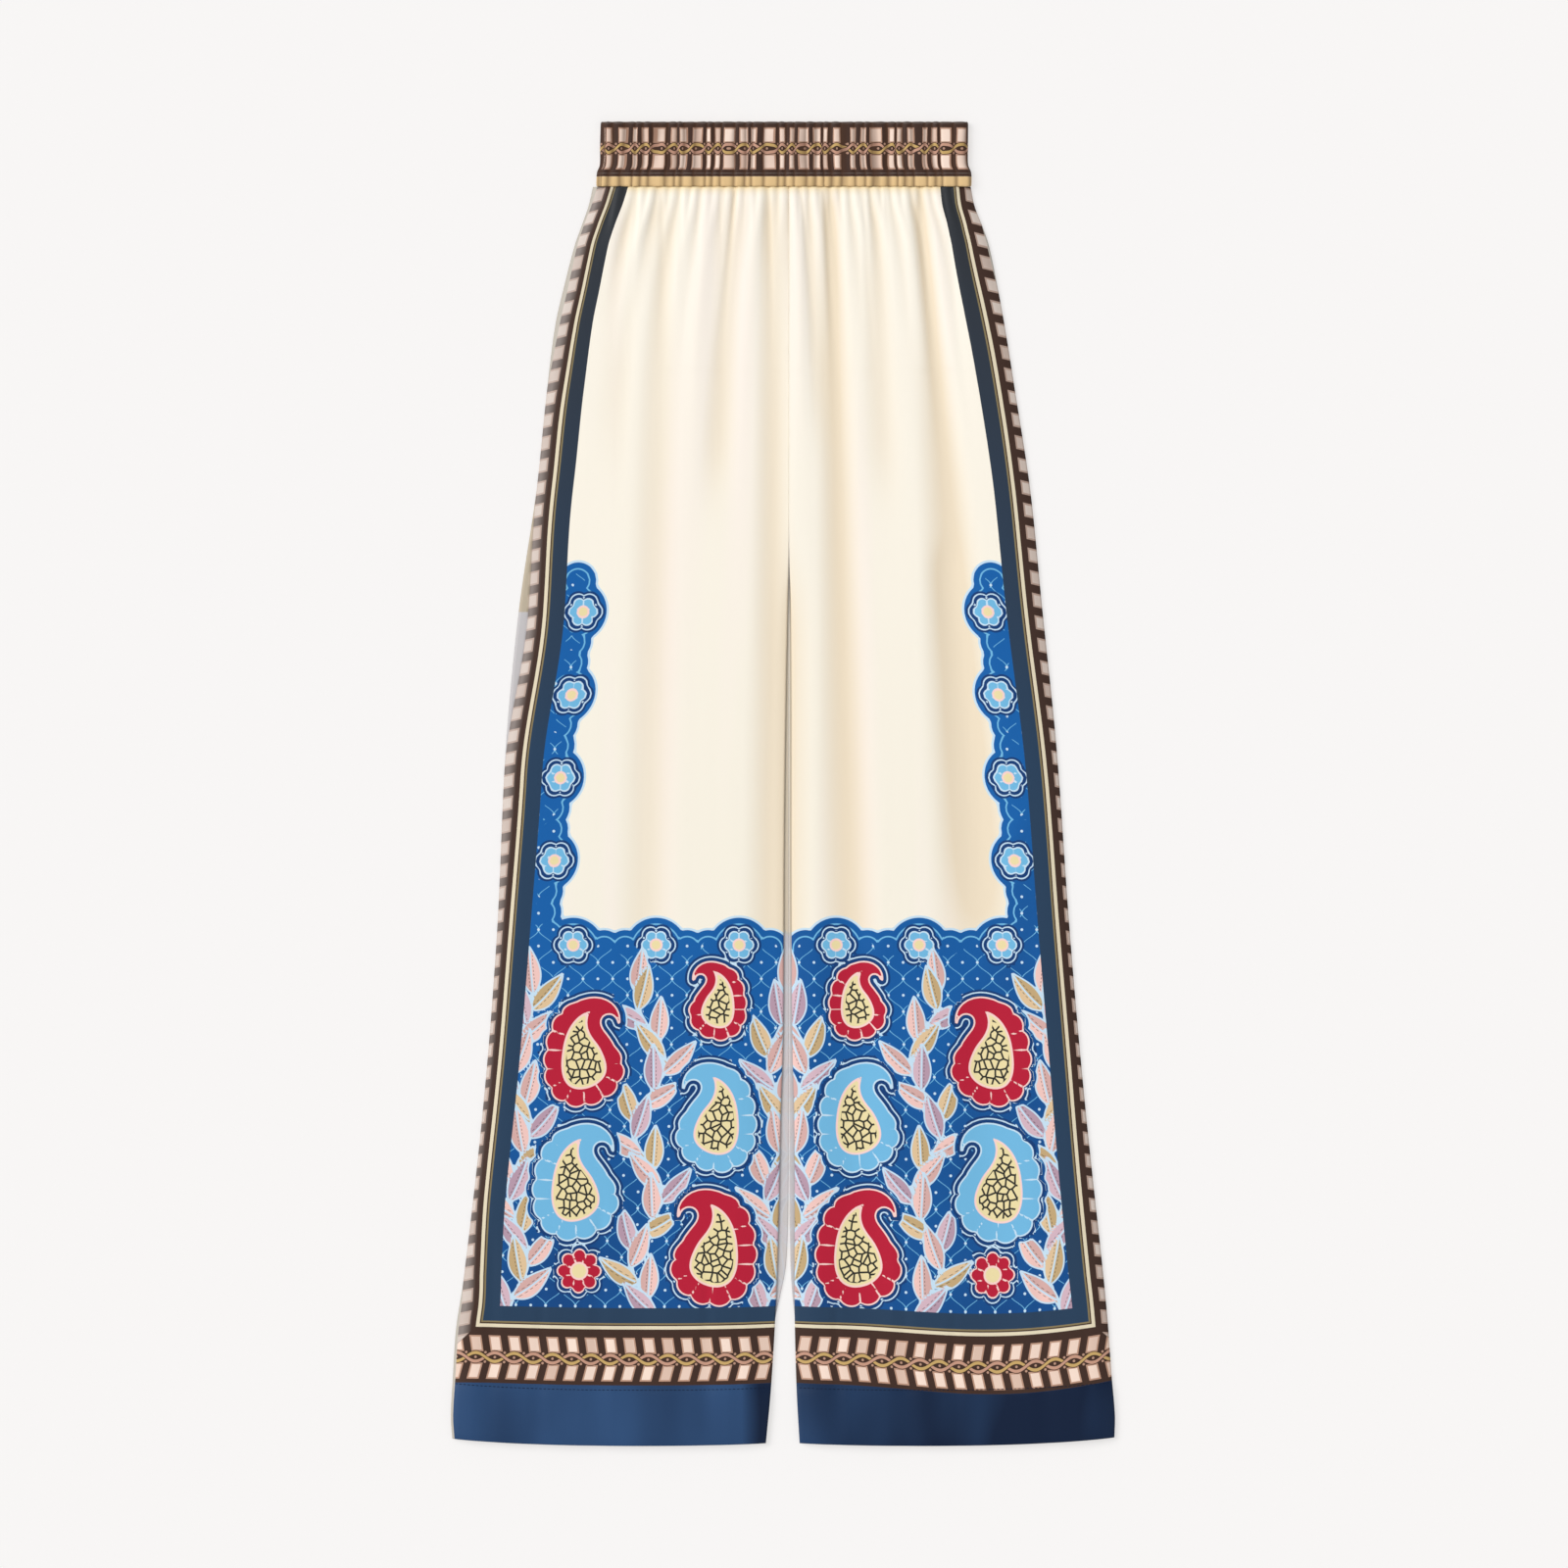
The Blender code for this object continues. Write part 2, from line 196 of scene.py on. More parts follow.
BACK_CREASES = table(
    Crease,
    (-128, 53, -140, 170, 3.5, 8, 1.0),
    (-106, 53, -140, 390, 5, 18, 1.4),
    (-84, 53, -88, 150, 3.5, 7, 0.9),
    (-62, 53, -86, 760, 6, 22, 1.5),
    (-36, 53, -42, 290, 5, 14, 1.2),
    (-18, 53, -20, 130, 3.5, 7, 0.8),
    (22, 53, 24, 160, 3.5, 8, 0.9),
    (38, 53, 58, 540, 6, 20, 1.5),
    (66, 53, 72, 150, 3.5, 7, 0.9),
    (84, 53, 122, 900, 7, 24, 1.4),
    (122, 53, 158, 400, 5, 18, 1.3),
    (-172, 640, -196, 1050, 12, 22, 0.9),
    (-70, 820, -66, 1060, 9, 18, 0.7),
    (186, 720, 204, 1050, 12, 22, 0.9),
    (60, 860, 62, 1060, 8, 16, 0.6),
)
CREASE_FADE = 45.0

# ---- The print: a frame of stripes round each panel, measured out from the stripes' inner line ----
NAVY_LINE = 12.2
GOLD_LINE = 13.5
DARK_LINE = 14.5
CREAM_LINE = 17.3
BROWN_LINE = 20.8
SIDE_BORDER = 19.2  # where the border starts beside the seam
SHEEN_START = 20.5  # from there outwards a painted sheen makes the right leg's side paler, over this width
SHEEN_WIDTH = 7.0
SIDE_FRAME = 31.0  # width of the frame beside the seam, where all of it shows
HEM_FRAME = 111.3  # from the inner line to the edge of the hem
HEM_BAND = 48.8  # height of the plain navy band at the hem
BORDER = HEM_FRAME - HEM_BAND - BROWN_LINE  # height of the patterned band above it
BAR_INSET = 9.7  # from the border's edges to the middles of its two rows of bars
BAR_REACH = 6.5  # half of a bar's length
BAR_LEAN = 0.2
HEM_BARS = 15.5  # pitch of the bars above the hem
SIDE_BARS = 18.2  # and beside the seam
BAND_BARS = 14.4  # and in the waistband's cloth, before it is ruched
TWIST_REACH = 3.5  # how far the two strands of the twist swing
TWIST_STRAND = 1.25  # half of a strand's width
BAND_EDGES = (1.8, 41.8, 44.4)  # on the waistband: the border's two edges, and where the gold stripe starts

# Colours of the dyes, as display values.
CREAM = (251, 244, 230)
LOW_CREAM = (236, 230, 212)
CREASE_SHADE = (236, 220, 194)
SEAM_YELLOW_AND_SHADE = (240, 214, 160)
BACK_KHAKI_AND_SHADE = (190, 175, 151)
WORN_BLUE = (200, 200, 208)
PINK_STREAK = (250, 238, 230)
SELVEDGE = (188, 181, 170)
NAVY = (38, 62, 88)
CHARCOAL = (50, 50, 50)
HEM_NAVY = (46, 78, 120)
HEM_SHADE = (8, 28, 56)
THREAD = (16, 30, 54)
THREAD_SHADE = (14, 27, 48)
FLOOR = (247, 245, 244)
BLUE = (16, 94, 166)
DEEP_BLUE = (12, 58, 114)
PALE_BLUE = (196, 222, 240)
LIGHT_BLUE = (112, 182, 222)
CRIMSON = (182, 26, 54)
OCHRE = (212, 186, 124)
EYE_CREAM = (234, 218, 166)
PINK = (236, 192, 184)
LILAC = (194, 166, 188)
PALE_PINK = (246, 208, 202)
LEAF_SHADE = (150, 112, 116)
BROWN = (64, 44, 36)
LINE_CREAM = (226, 214, 186)
LINE_GOLD = (134, 120, 86)
BAND_SHADE = (72, 44, 26)
BAND_TOP = (88, 76, 70)
TAN = (186, 146, 124)
ROSE_TAN = (196, 150, 128)
GOLD = (224, 190, 138)
STRAND_GOLD = (198, 164, 104)
TILE = (250, 226, 210)
SHADED_SIDE_TILE = (214, 200, 190)
SIDE_TAN = (176, 150, 136)
SHEEN_TILE = (214, 204, 198)
DARK_EYE = (44, 44, 40)

# Each dye of the figures has its own outline.
Tone = namedtuple("Tone", "body outline")
CRIMSON_TONE = Tone(CRIMSON, PALE_PINK)
LIGHT_BLUE_TONE = Tone(LIGHT_BLUE, PALE_BLUE)
OCHRE_TONE = Tone(OCHRE, PALE_BLUE)
PINK_TONE = Tone(PINK, PALE_BLUE)
LILAC_TONE = Tone(LILAC, PALE_BLUE)
TONES = [CRIMSON_TONE, LIGHT_BLUE_TONE, OCHRE_TONE, PINK_TONE, LILAC_TONE]

# Figures of the blue ground: across is measured from the inner seam.
Boteh = namedtuple("Boteh", "across height size lean petals tone")
BOTEHS = [
    Boteh(56, 150, 30, 1, 17, CRIMSON_TONE),
    Boteh(160, 203, 30, -1, 17, LIGHT_BLUE_TONE),
    Boteh(56, 256, 28, 1, 17, LIGHT_BLUE_TONE),
    Boteh(156, 309, 28, -1, 17, CRIMSON_TONE),
    Boteh(56, 353, 20, 1, 15, CRIMSON_TONE),
]
BOTEH_GAP = 7.0  # clear of what it covers
HALO = 4.6  # from its petals to the pale line round them
BEAD_RING = 2.9  # and to the beads inside that line
BEAD = 0.85
Vine = namedtuple("Vine", "across foot top sway leaf")
VINES = [
    Vine(3, 106, 378, -8, 37),
    Vine(107, 106, 372, 12, 36),
    Vine(210, 106, 378, -8, 37),
]
VINE_WAVE = 106.0  # so that each vine bends round the teardrops beside it
STEM = 0.9
LEAF_STEP = 13.0
LEAF_ANGLE = 37.0
LEAF_WIDTH = 0.38  # of its length
LEAF_TONES = [PINK_TONE, OCHRE_TONE, LILAC_TONE, PINK_TONE, OCHRE_TONE, PINK_TONE, LILAC_TONE]
FIGURE_GAP = 1.9  # between one figure and what it covers
FIGURE_OUTLINE = 1.3
PETAL = 12.5  # length of the petals round the largest teardrops
Rosette = namedtuple("Rosette", "across height size petals tone")
LONE_ROSETTE = Rosette(160, 141, 17.0, 8, CRIMSON_TONE)
EDGE_ROSETTE = 11.0  # size of the flowers in the trefoils

# A net of wavy lines fills the ground, with a dot in each of its meshes.
NET_WIDTH = 24.0
NET_HEIGHT = 26.5
NET_LINE = 0.42
NET_DOT = 1.1

# The blue ground's edge is a row of trefoils, upright beside the frame and level above the figures.
TREFOIL_MIDDLE = 25.0
TREFOIL_SIDE = 15.0
TREFOIL_STEP = 25.0
COLUMN_INSET = 40.0
COLUMN_HEIGHTS = [406.0, 473.0, 540.0, 607.0, 674.0]
FIELD_TOP = 402.0
FIELD_EDGE = 405.0  # level of the ground's edge between the trefoils
FIELD_PLACES = [36.0, 103.0, 170.0]

# ---- Camera: straight above, so that 1600 pixels across are 1.2675 m of the surface ----
LENS = 200.0
SENSOR = 36.0
VIEW_WIDTH = 1.2675
FLOOR_GAP = 0.3  # keeps the floor's face clear of the cloth's
FLOOR_MATT = 0.35  # share of the floor's brightness that is lit from above
FLOOR_GLOW = 0.65
FLOOR_SIZE = 6.0  # metres
WORLD_LIGHT = 0.457


# ---- Curves and grids ----
def between(rows, drops, side):
    """A table's column at these drops, on a smooth curve through its rows."""
    places = np.array([row.drop for row in rows])
    values = np.array([getattr(row, side) for row in rows])
    slopes = np.gradient(values, places)
    slopes[1:-1] = (values[2:] - values[:-2]) / (places[2:] - places[:-2])
    drops = np.clip(drops, places[0], places[-1])
    i = np.clip(np.searchsorted(places, drops, side="right") - 1, 0, len(places) - 2)
    span = places[i + 1] - places[i]
    t = (drops - places[i]) / span
    start = (1 + 2 * t) * (1 - t) ** 2 * values[i] + t * (1 - t) ** 2 * span * slopes[i]
    end = t * t * (3 - 2 * t) * values[i + 1] - t * t * (1 - t) * span * slopes[i + 1]
    return start + end


def ease(t):
    """0 up to 1 with no sudden start or stop."""
    t = np.clip(t, 0.0, 1.0)
    return t * t * (3 - 2 * t)


def bell(t):
    """1 at t = 0, falling to 0 at t = -1 and t = 1."""
    return np.cos(np.pi / 2 * np.clip(t, -1, 1)) ** 2


def rows_of(zones):
    """Drops of a panel's rows, closer together where there is more to show."""
    parts = [np.arange(zone.start, zone.end, zone.step) for zone in zones]
    return np.append(np.concatenate(parts), LENGTH)


def soften(grid, passes, axis):
    """The grid with its steps smoothed along one axis."""
    for _ in range(passes):
        padded = np.pad(grid, [(1, 1) if k == axis else (0, 0) for k in (0, 1)], mode="edge")
        before, after = (padded[:-2], padded[2:]) if axis == 0 else (padded[:, :-2], padded[:, 2:])
        grid = grid / 2 + (before + after) / 4
    return grid


def crease_depth(creases, x, drop):
    """Depth of these creases over a grid."""
    total = np.zeros_like(x)
    for c in creases:
        t = (drop - c.top_drop) / (c.foot_drop - c.top_drop)
        along = np.clip(t, 0, 1)
        beyond = np.abs(t - along) * (c.foot_drop - c.top_drop)
        middle = c.top_x + (c.foot_x - c.top_x) * along
        width = c.top_width + (c.foot_width - c.top_width) * along
        fade = 1 - 0.75 * along if c.top_drop < 60 else 1.0
        total += c.depth * fade * bell((x - middle) / width) * bell(beyond / CREASE_FADE)
    return total


def back_shows(drops):
    """How far the wearer's right back panel shows past the front's side."""
    return BACK_SHOWS * bell((drops - BACK_SHOWS_DROP) / BACK_SHOWS_LENGTH)


class Panel:
    """One leg panel as a grid: where its points are, and where they are in the cloth."""

    def __init__(self, node, side, columns, zones, is_front):
        self.node = node
        self.side = side
        self.is_front = is_front
        outward = 1 if side == "left" else -1
        drops = rows_of(zones)
        inner = between(FRONT_INNER_EDGE if is_front else BACK_INNER_EDGE, drops, side)
        outer = outward * between(SIDE_SEAM, drops, side)
        if is_front and side == "right":
            outer = outer + back_shows(drops)
        places = np.sort(np.append(np.arange(columns + 1), INNER_COLUMNS)) / columns
        self.u = np.tile(places, (len(drops), 1))
        self.drop = np.repeat(drops[:, None], len(places), axis=1)
        self.x = inner[:, None] + (outer - inner)[:, None] * self.u
        curve = HEM_SWEEP[side] * self.u**4 + HEM_LIFT * (1 - self.u) ** 5
        self.y = LENGTH / 2 - self.drop + curve * ease((self.drop - LENGTH + HEM_FADE) / HEM_FADE)
        self.height = LENGTH - self.drop
        self.from_inner = np.abs(self.x - inner[:, None])
        self.from_side = np.abs(outer[:, None] - self.x)
        frame_edge = between(FRAME_EDGE, drops, side)[:, None]
        gathered = between(FRAME_GATHER, drops, side)[:, None]
        self.print_side = SIDE_FRAME + (self.from_side - frame_edge) * gathered
        if side == "right" and not is_front:
            self.print_side = self.print_side - back_shows(self.drop)
        low = 8.5 * bell((self.u - 0.66) / 0.55) if side == "left" else 3.5 * self.u**10
        self.print_height = self.height + low * (1 - ease(self.height / PRINT_SAG))
        self.joined_inside = 1 - ease((self.drop - CROTCH_DROP) / 40.0)
        self.z = np.zeros_like(self.x)


def rest_on_solid(panel):
    """Heights of the CAD node's outer face under the grid, with its facets smoothed."""
    node = bpy.data.objects[panel.node]
    tree = BVHTree.FromPolygons([v.co for v in node.data.vertices], [p.vertices for p in node.data.polygons])
    inset = 1.5
    inner, outer = panel.x[:, :1], panel.x[:, -1:]
    low, high = np.minimum(inner, outer) + inset, np.maximum(inner, outer) - inset
    x = np.clip(panel.x, low, high)
    y = np.clip(panel.y, panel.y[-1:] + inset, panel.y[0, 0] - inset)
    start, direction = (0.1, Vector((0, 0, -1))) if panel.is_front else (-0.1, Vector((0, 0, 1)))
    heights = np.zeros(x.size)
    for k, (px, py) in enumerate(zip(x.ravel() * MM, y.ravel() * MM)):
        place = tree.ray_cast(Vector((px, py, start)), direction)[0]
        heights[k] = place.z / MM
    heights = heights.reshape(x.shape)
    return soften(soften(heights, 24, axis=0), 3, axis=1)


def shape_front(panel):
    """The front's lie: the solid's folds, then narrow creases, hem and seams."""
    panel.z = rest_on_solid(panel)
    below = panel.drop - WAIST_SEAM
    phase = panel.u * GATHERS
    fine = 0.5 - np.abs(np.sin(np.pi * phase)) ** 0.7
    uneven = 0.75 + 0.25 * np.sin(7.1 * panel.u + 1.3 * np.floor(phase))
    reach = 20 + 9 * np.sin(2.6 * np.floor(phase) + (1 if panel.side == "left" else 2))
    panel.z -= 0.8 * fine * uneven * np.exp(-((below / reach) ** 2))
    panel.z -= crease_depth(WAIST_CREASES, panel.x, panel.drop) * ease((below + 3) / 10)
    panel.z -= crease_depth(HEM_RIPPLES + BROAD_FOLDS, panel.x, panel.drop)
    panel.z += hem_fold(panel)
    meet_at_seams(panel)


def shape_back(panel):
    """The back's lie: flat on the surface, with shallow hollows under its creases."""
    panel.z = rest_on_solid(panel)
    below = panel.drop - WAIST_SEAM
    waves = np.sin(np.pi * panel.u * GATHERS) ** 2
    panel.z += 0.7 * waves * np.exp(-((below / 26) ** 2))
    panel.z += crease_depth(BACK_CREASES, panel.x, panel.drop) * ease(below / 10)
    panel.z = np.maximum(panel.z, 0.0)


def hem_fold(panel):
    """The turned-up hem: its doubled cloth stands a little proud below a row of stitches."""
    above = panel.height - HEM_DEPTH
    doubled = 0.22 * (1 - ease(above / 3 + 0.5))
    pulled = -0.4 * np.exp(-((above / 2.2) ** 2))
    rolled = -0.5 * (1 - ease(panel.height / 2.5))
    return doubled + pulled + rolled


def meet_at_seams(panel):
    """Brings the panel's edges down to the panel under it, and dents the centre seam."""
    side = np.exp(-((panel.from_side / 3.0) ** 2))
    inseam = 0.6 * np.exp(-((panel.from_inner / 0.7) ** 2)) * (1 - panel.joined_inside)
    panel.z -= SEAM_DIP * np.maximum(side, inseam)
    rolled = np.exp(-(((panel.from_inner - 5.5) / 4.0) ** 2)) * (1 - panel.joined_inside)
    panel.z += 0.25 * rolled * ease((LENGTH - panel.drop) / 200.0)
    pucker = 1 + 0.5 * np.sin(panel.drop / 4.1) * np.sin(panel.drop / 13.0)
    shallow = 0.26 - 0.16 * ease((panel.drop - 100.0) / 60.0)
    panel.z -= shallow * pucker * np.exp(-((panel.from_inner / 1.6) ** 2)) * panel.joined_inside


# ---- The print's shapes ----
NO_VEIN = 9.0
NO_HEART = 30.0
NO_FIGURE = 30.0
LEAF_HEART = 26.0  # leaves and stems have no heart, which is stored as more than this
PLAIN_EYE = -1.5  # hearts that go no deeper than this carry no mosaic


class Figures:
    """The print's figures over a grid: the edge, veins, heart and dye of what shows at each point."""

    def __init__(self, across, height):
        self.across = across
        self.height = height
        self.edge = np.full(across.shape, NO_FIGURE)
        self.vein = np.full(across.shape, NO_VEIN)
        self.heart = np.full(across.shape, NO_HEART)
        self.tone = np.zeros(across.shape)

    def near(self, across, height, reach):
        """Which points lie near this place, and how far from it each one is to the side and upwards."""
        where = np.nonzero((np.abs(self.across - across) < reach) & (np.abs(self.height - height) < reach))
        return where, self.across[where] - across, self.height[where] - height

    def add(self, where, edge, vein, heart, tone, gap=FIGURE_GAP):
        """Lays one more figure over the others, which stop short of it by the gap."""
        others = np.maximum(self.edge[where], gap - edge)
        on_top = edge < others
        self.edge[where] = np.minimum(edge, others)
        self.vein[where] = np.where(on_top, vein, self.vein[where])
        self.heart[where] = np.where(on_top, heart, self.heart[where])
        self.tone[where] = np.where(on_top, (TONES.index(tone) + 0.5) / len(TONES), self.tone[where])


def trace(px, py, outline_x, outline_y):
    """Distance from a closed outline, under 0 inside it, and how far round it the nearest place is."""
    count = len(outline_x)
    nearest = np.full(px.shape, 1e9)
    place = np.zeros(px.shape)
    inside = np.zeros(px.shape, dtype=bool)
    for k in range(count):
        ax, ay = outline_x[k], outline_y[k]
        dx, dy = outline_x[(k + 1) % count] - ax, outline_y[(k + 1) % count] - ay
        t = np.clip(((px - ax) * dx + (py - ay) * dy) / max(dx * dx + dy * dy, 1e-9), 0, 1)
        reach = np.hypot(px - ax - t * dx, py - ay - t * dy)
        closer = reach < nearest
        nearest = np.where(closer, reach, nearest)
        place = np.where(closer, (k + t) / count, place)
        if abs(dy) > 1e-9:
            level = (ay > py) != (ay + dy > py)
            inside ^= level & (px < ax + dx * (py - ay) / dy)
    return np.where(inside, -nearest, nearest), place


def evenly(x, y, count):
    """A closed outline again, with its points at equal distances."""
    x, y = np.append(x, x[0]), np.append(y, y[0])
    travelled = np.append(0.0, np.cumsum(np.hypot(np.diff(x), np.diff(y))))
    stops = np.linspace(0, travelled[-1], count + 1)[:-1]
    return np.interp(stops, travelled, x), np.interp(stops, travelled, y)


def teardrop():
    """Outline of a boteh of size 1 from its tip, which curls over to the right, and back to it."""
    t = np.linspace(0, 1, 49) ** 1.6
    heading = -0.3 * (1 - t) + 3.0 * np.clip((t - 0.4) / 0.6, 0, 1) ** 1.8
    steps = np.diff(t) * 3.8
    x = np.append(0.0, np.cumsum(np.sin(heading[1:]) * steps)) + 0.1
    y = np.append(0.0, np.cumsum(np.cos(heading[1:]) * steps)) - 1.05
    half_width = 3.1 * t**0.5 * (1 - t) ** 1.5
    right_x, right_y = x + np.cos(heading) * half_width, y - np.sin(heading) * half_width
    left_x, left_y = x - np.cos(heading) * half_width, y + np.sin(heading) * half_width
    outline_x = np.concatenate([right_x[::-1], left_x[1:-1]])
    outline_y = np.concatenate([right_y[::-1], left_y[1:-1]])
    return evenly(outline_x, outline_y, 110)


def draw_boteh(figures, b):
    """A teardrop with a curled tip, and petals round a mosaic heart."""
    where, dx, dy = figures.near(b.across, b.height + b.size / 2, 2.8 * b.size)
    x, y = teardrop()
    edge, place = trace(dx * b.lean, dy + b.size / 2, x * b.size, y * b.size)
    ribs = np.abs(np.sin(math.pi * b.petals * place))
    low = ease((np.minimum(place, 1 - place) - 0.15) / 0.1)
    scallop = 0.13 * b.size * low * ribs**0.6
    vein = ribs * 2.6 * b.size / b.petals + NO_VEIN * (1 - low)
    heart = edge + PETAL * b.size / BOTEHS[0].size
    figures.add(where, edge - scallop, vein, heart, b.tone, BOTEH_GAP)


def draw_leaf(figures, foot, tilt, length, tone):
    """A pointed leaf that grows from its foot, its tip bent back upwards."""
    where, dx, dy = figures.near(*foot, 1.3 * length)
    along = dx * math.sin(tilt) + dy * math.cos(tilt)
    off = dx * math.cos(tilt) - dy * math.sin(tilt)
    bend = -0.22 * length * math.sin(tilt)
    t = np.append(np.linspace(0, 1, 16), np.linspace(1, 0, 16)[1:-1])
    hand = np.append(np.ones(16), -np.ones(14))
    half_width = LEAF_WIDTH / 2 * length * np.sin(np.pi * t**0.8)
    edge, _ = trace(off, along, hand * half_width + bend * t**2, length * t)
    midrib = off - bend * np.clip(along / length, 0, 1) ** 2
    figures.add(where, edge, midrib, np.full(edge.shape, NO_HEART), tone)


def vine_sway(vine, height):
    """How far the stem stands to the side at this height."""
    return vine.sway * np.cos(2 * math.pi / VINE_WAVE * (height - BOTEHS[0].height))


def draw_vine(figures, vine):
    """A swaying stem with leaves on its left and right in turn, the lower ones over those above."""
    off = figures.across - vine.across - vine_sway(vine, figures.height)
    ends = np.maximum(vine.foot - figures.height, figures.height - vine.top)
    where = np.nonzero(np.abs(off) < 8 * STEM)
    plain = np.full(where[0].shape, NO_VEIN)
    figures.add(where, np.maximum(np.abs(off) - STEM, ends)[where], plain, plain + NO_HEART, OCHRE_TONE)
    places = np.arange(vine.foot, vine.top, LEAF_STEP)[::-1]
    for k, height in enumerate(places):
        across = vine.across + vine_sway(vine, height)
        slope = (vine_sway(vine, height + 1) - vine_sway(vine, height - 1)) / 2
        angle = 0.0 if k == 0 else LEAF_ANGLE * (-1) ** k
        tone = LEAF_TONES[k % len(LEAF_TONES)]
        draw_leaf(figures, (across, height), math.atan(slope) + math.radians(angle), vine.leaf, tone)


def draw_rosette(figures, rosette):
    """A small flower with rounded petals and a plain eye."""
    size = rosette.size
    where, dx, dy = figures.near(rosette.across, rosette.height, 4 * size)
    reach = np.hypot(dx, dy)
    turn = rosette.petals / 2 * np.arctan2(dy, dx)
    lobes = 0.28 * size * np.abs(np.cos(turn)) ** 0.7
    vein = np.abs(np.cos(turn)) * reach * 2 / rosette.petals
    heart = np.maximum(reach - 0.34 * size, PLAIN_EYE)
    figures.add(where, reach - 0.72 * size - lobes, vein, heart, rosette.tone)


def trefoil(along, out):
    """Distance from three joined lobes, the middle one the largest."""
    middle = np.hypot(along, out) - TREFOIL_MIDDLE
    sides = np.hypot(np.abs(along) - TREFOIL_STEP, out) - TREFOIL_SIDE
    return np.minimum(middle, sides)


def draw_print(panel):
    """Distances that the dyes are painted by, at each point of a panel's grid."""
    across, height, side = panel.from_inner, panel.print_height, panel.print_side
    figures = Figures(across, height)
    for vine in VINES:
        draw_vine(figures, vine)
    for boteh in BOTEHS:
        draw_boteh(figures, boteh)
    draw_rosette(figures, LONE_ROSETTE)
    column = np.maximum(side - COLUMN_INSET, height - COLUMN_HEIGHTS[-1])
    ground = np.minimum(height - FIELD_EDGE, column)
    for middle in FIELD_PLACES:
        ground = np.minimum(ground, trefoil(across - middle, height - FIELD_TOP))
        draw_rosette(figures, Rosette(middle, FIELD_TOP + 3, EDGE_ROSETTE, 6, LIGHT_BLUE_TONE))
    figures.across = side  # the column's rosettes keep their distance from the frame
    for middle in COLUMN_HEIGHTS:
        ground = np.minimum(ground, trefoil(height - middle, side - COLUMN_INSET))
    for middle in COLUMN_HEIGHTS[1:]:
        draw_rosette(figures, Rosette(COLUMN_INSET + 6, middle, EDGE_ROSETTE, 6, LIGHT_BLUE_TONE))
    return ground, figures


# ---- Meshes ----
def mesh_object(name, points, faces, materials):
    """A smooth-shaded object from points in millimetres."""
    data = bpy.data.meshes.new(name)
    data.from_pydata([tuple(p) for p in np.asarray(points) * MM], [], faces)
    data.update()
    for material in materials:
        data.materials.append(material)
    data.shade_smooth()
    made = bpy.data.objects.new(name, data)
    bpy.context.scene.collection.objects.link(made)
    return made


def store(made, name, *columns):
    """Keeps one number, or a vector of three, at each point of a mesh."""
    kind = "FLOAT" if len(columns) == 1 else "FLOAT_VECTOR"
    attribute = made.data.attributes.new(name, kind, "POINT")
    values = np.stack([c.ravel() for c in columns], axis=1).astype(np.float32)
    attribute.data.foreach_set("value" if kind == "FLOAT" else "vector", values.ravel())


def grid_faces(rows, columns, flip):
    """Quads over a grid of points, looking up unless flipped."""
    corner = np.arange(rows * columns).reshape(rows, columns)
    quads = [corner[:-1, :-1], corner[1:, :-1], corner[1:, 1:], corner[:-1, 1:]]
    faces = np.stack([q.ravel() for q in quads], axis=1)
    return (faces[:, ::-1] if flip else faces).tolist()


def hollows(panel):
    """How far each point lies inwards of the smooth cloth on its row."""
    outward = panel.z if panel.is_front else -panel.z
    smooth = np.percentile(outward, 80, axis=1, keepdims=True)
    return np.maximum(soften(np.repeat(smooth, outward.shape[1], axis=1), 20, axis=0) - outward, 0.0)


def panel_object(panel, materials):
    """A thin shell of silk on the panel's grid, carrying its place in the print."""
    rows, columns = panel.x.shape
    points = np.stack([panel.x, panel.y, panel.z], axis=-1).reshape(-1, 3)
    looks_up = (panel.side == "left") == panel.is_front
    made = mesh_object("silk_" + panel.node, points, grid_faces(rows, columns, not looks_up), materials)
    ground, figures = draw_print(panel)
    store(made, "cloth", panel.print_side, panel.print_height, panel.from_inner)
    store(made, "figure", figures.edge, figures.vein, figures.heart)
    store(made, "tone", figures.tone)
    store(made, "ground", ground)
    store(made, "hollow", hollows(panel))
    shell = made.modifiers.new("Silk", "SOLIDIFY")
    shell.thickness = SILK * MM
    shell.offset = -1
    shell.material_offset = 1
    shell.material_offset_rim = 0
    return made


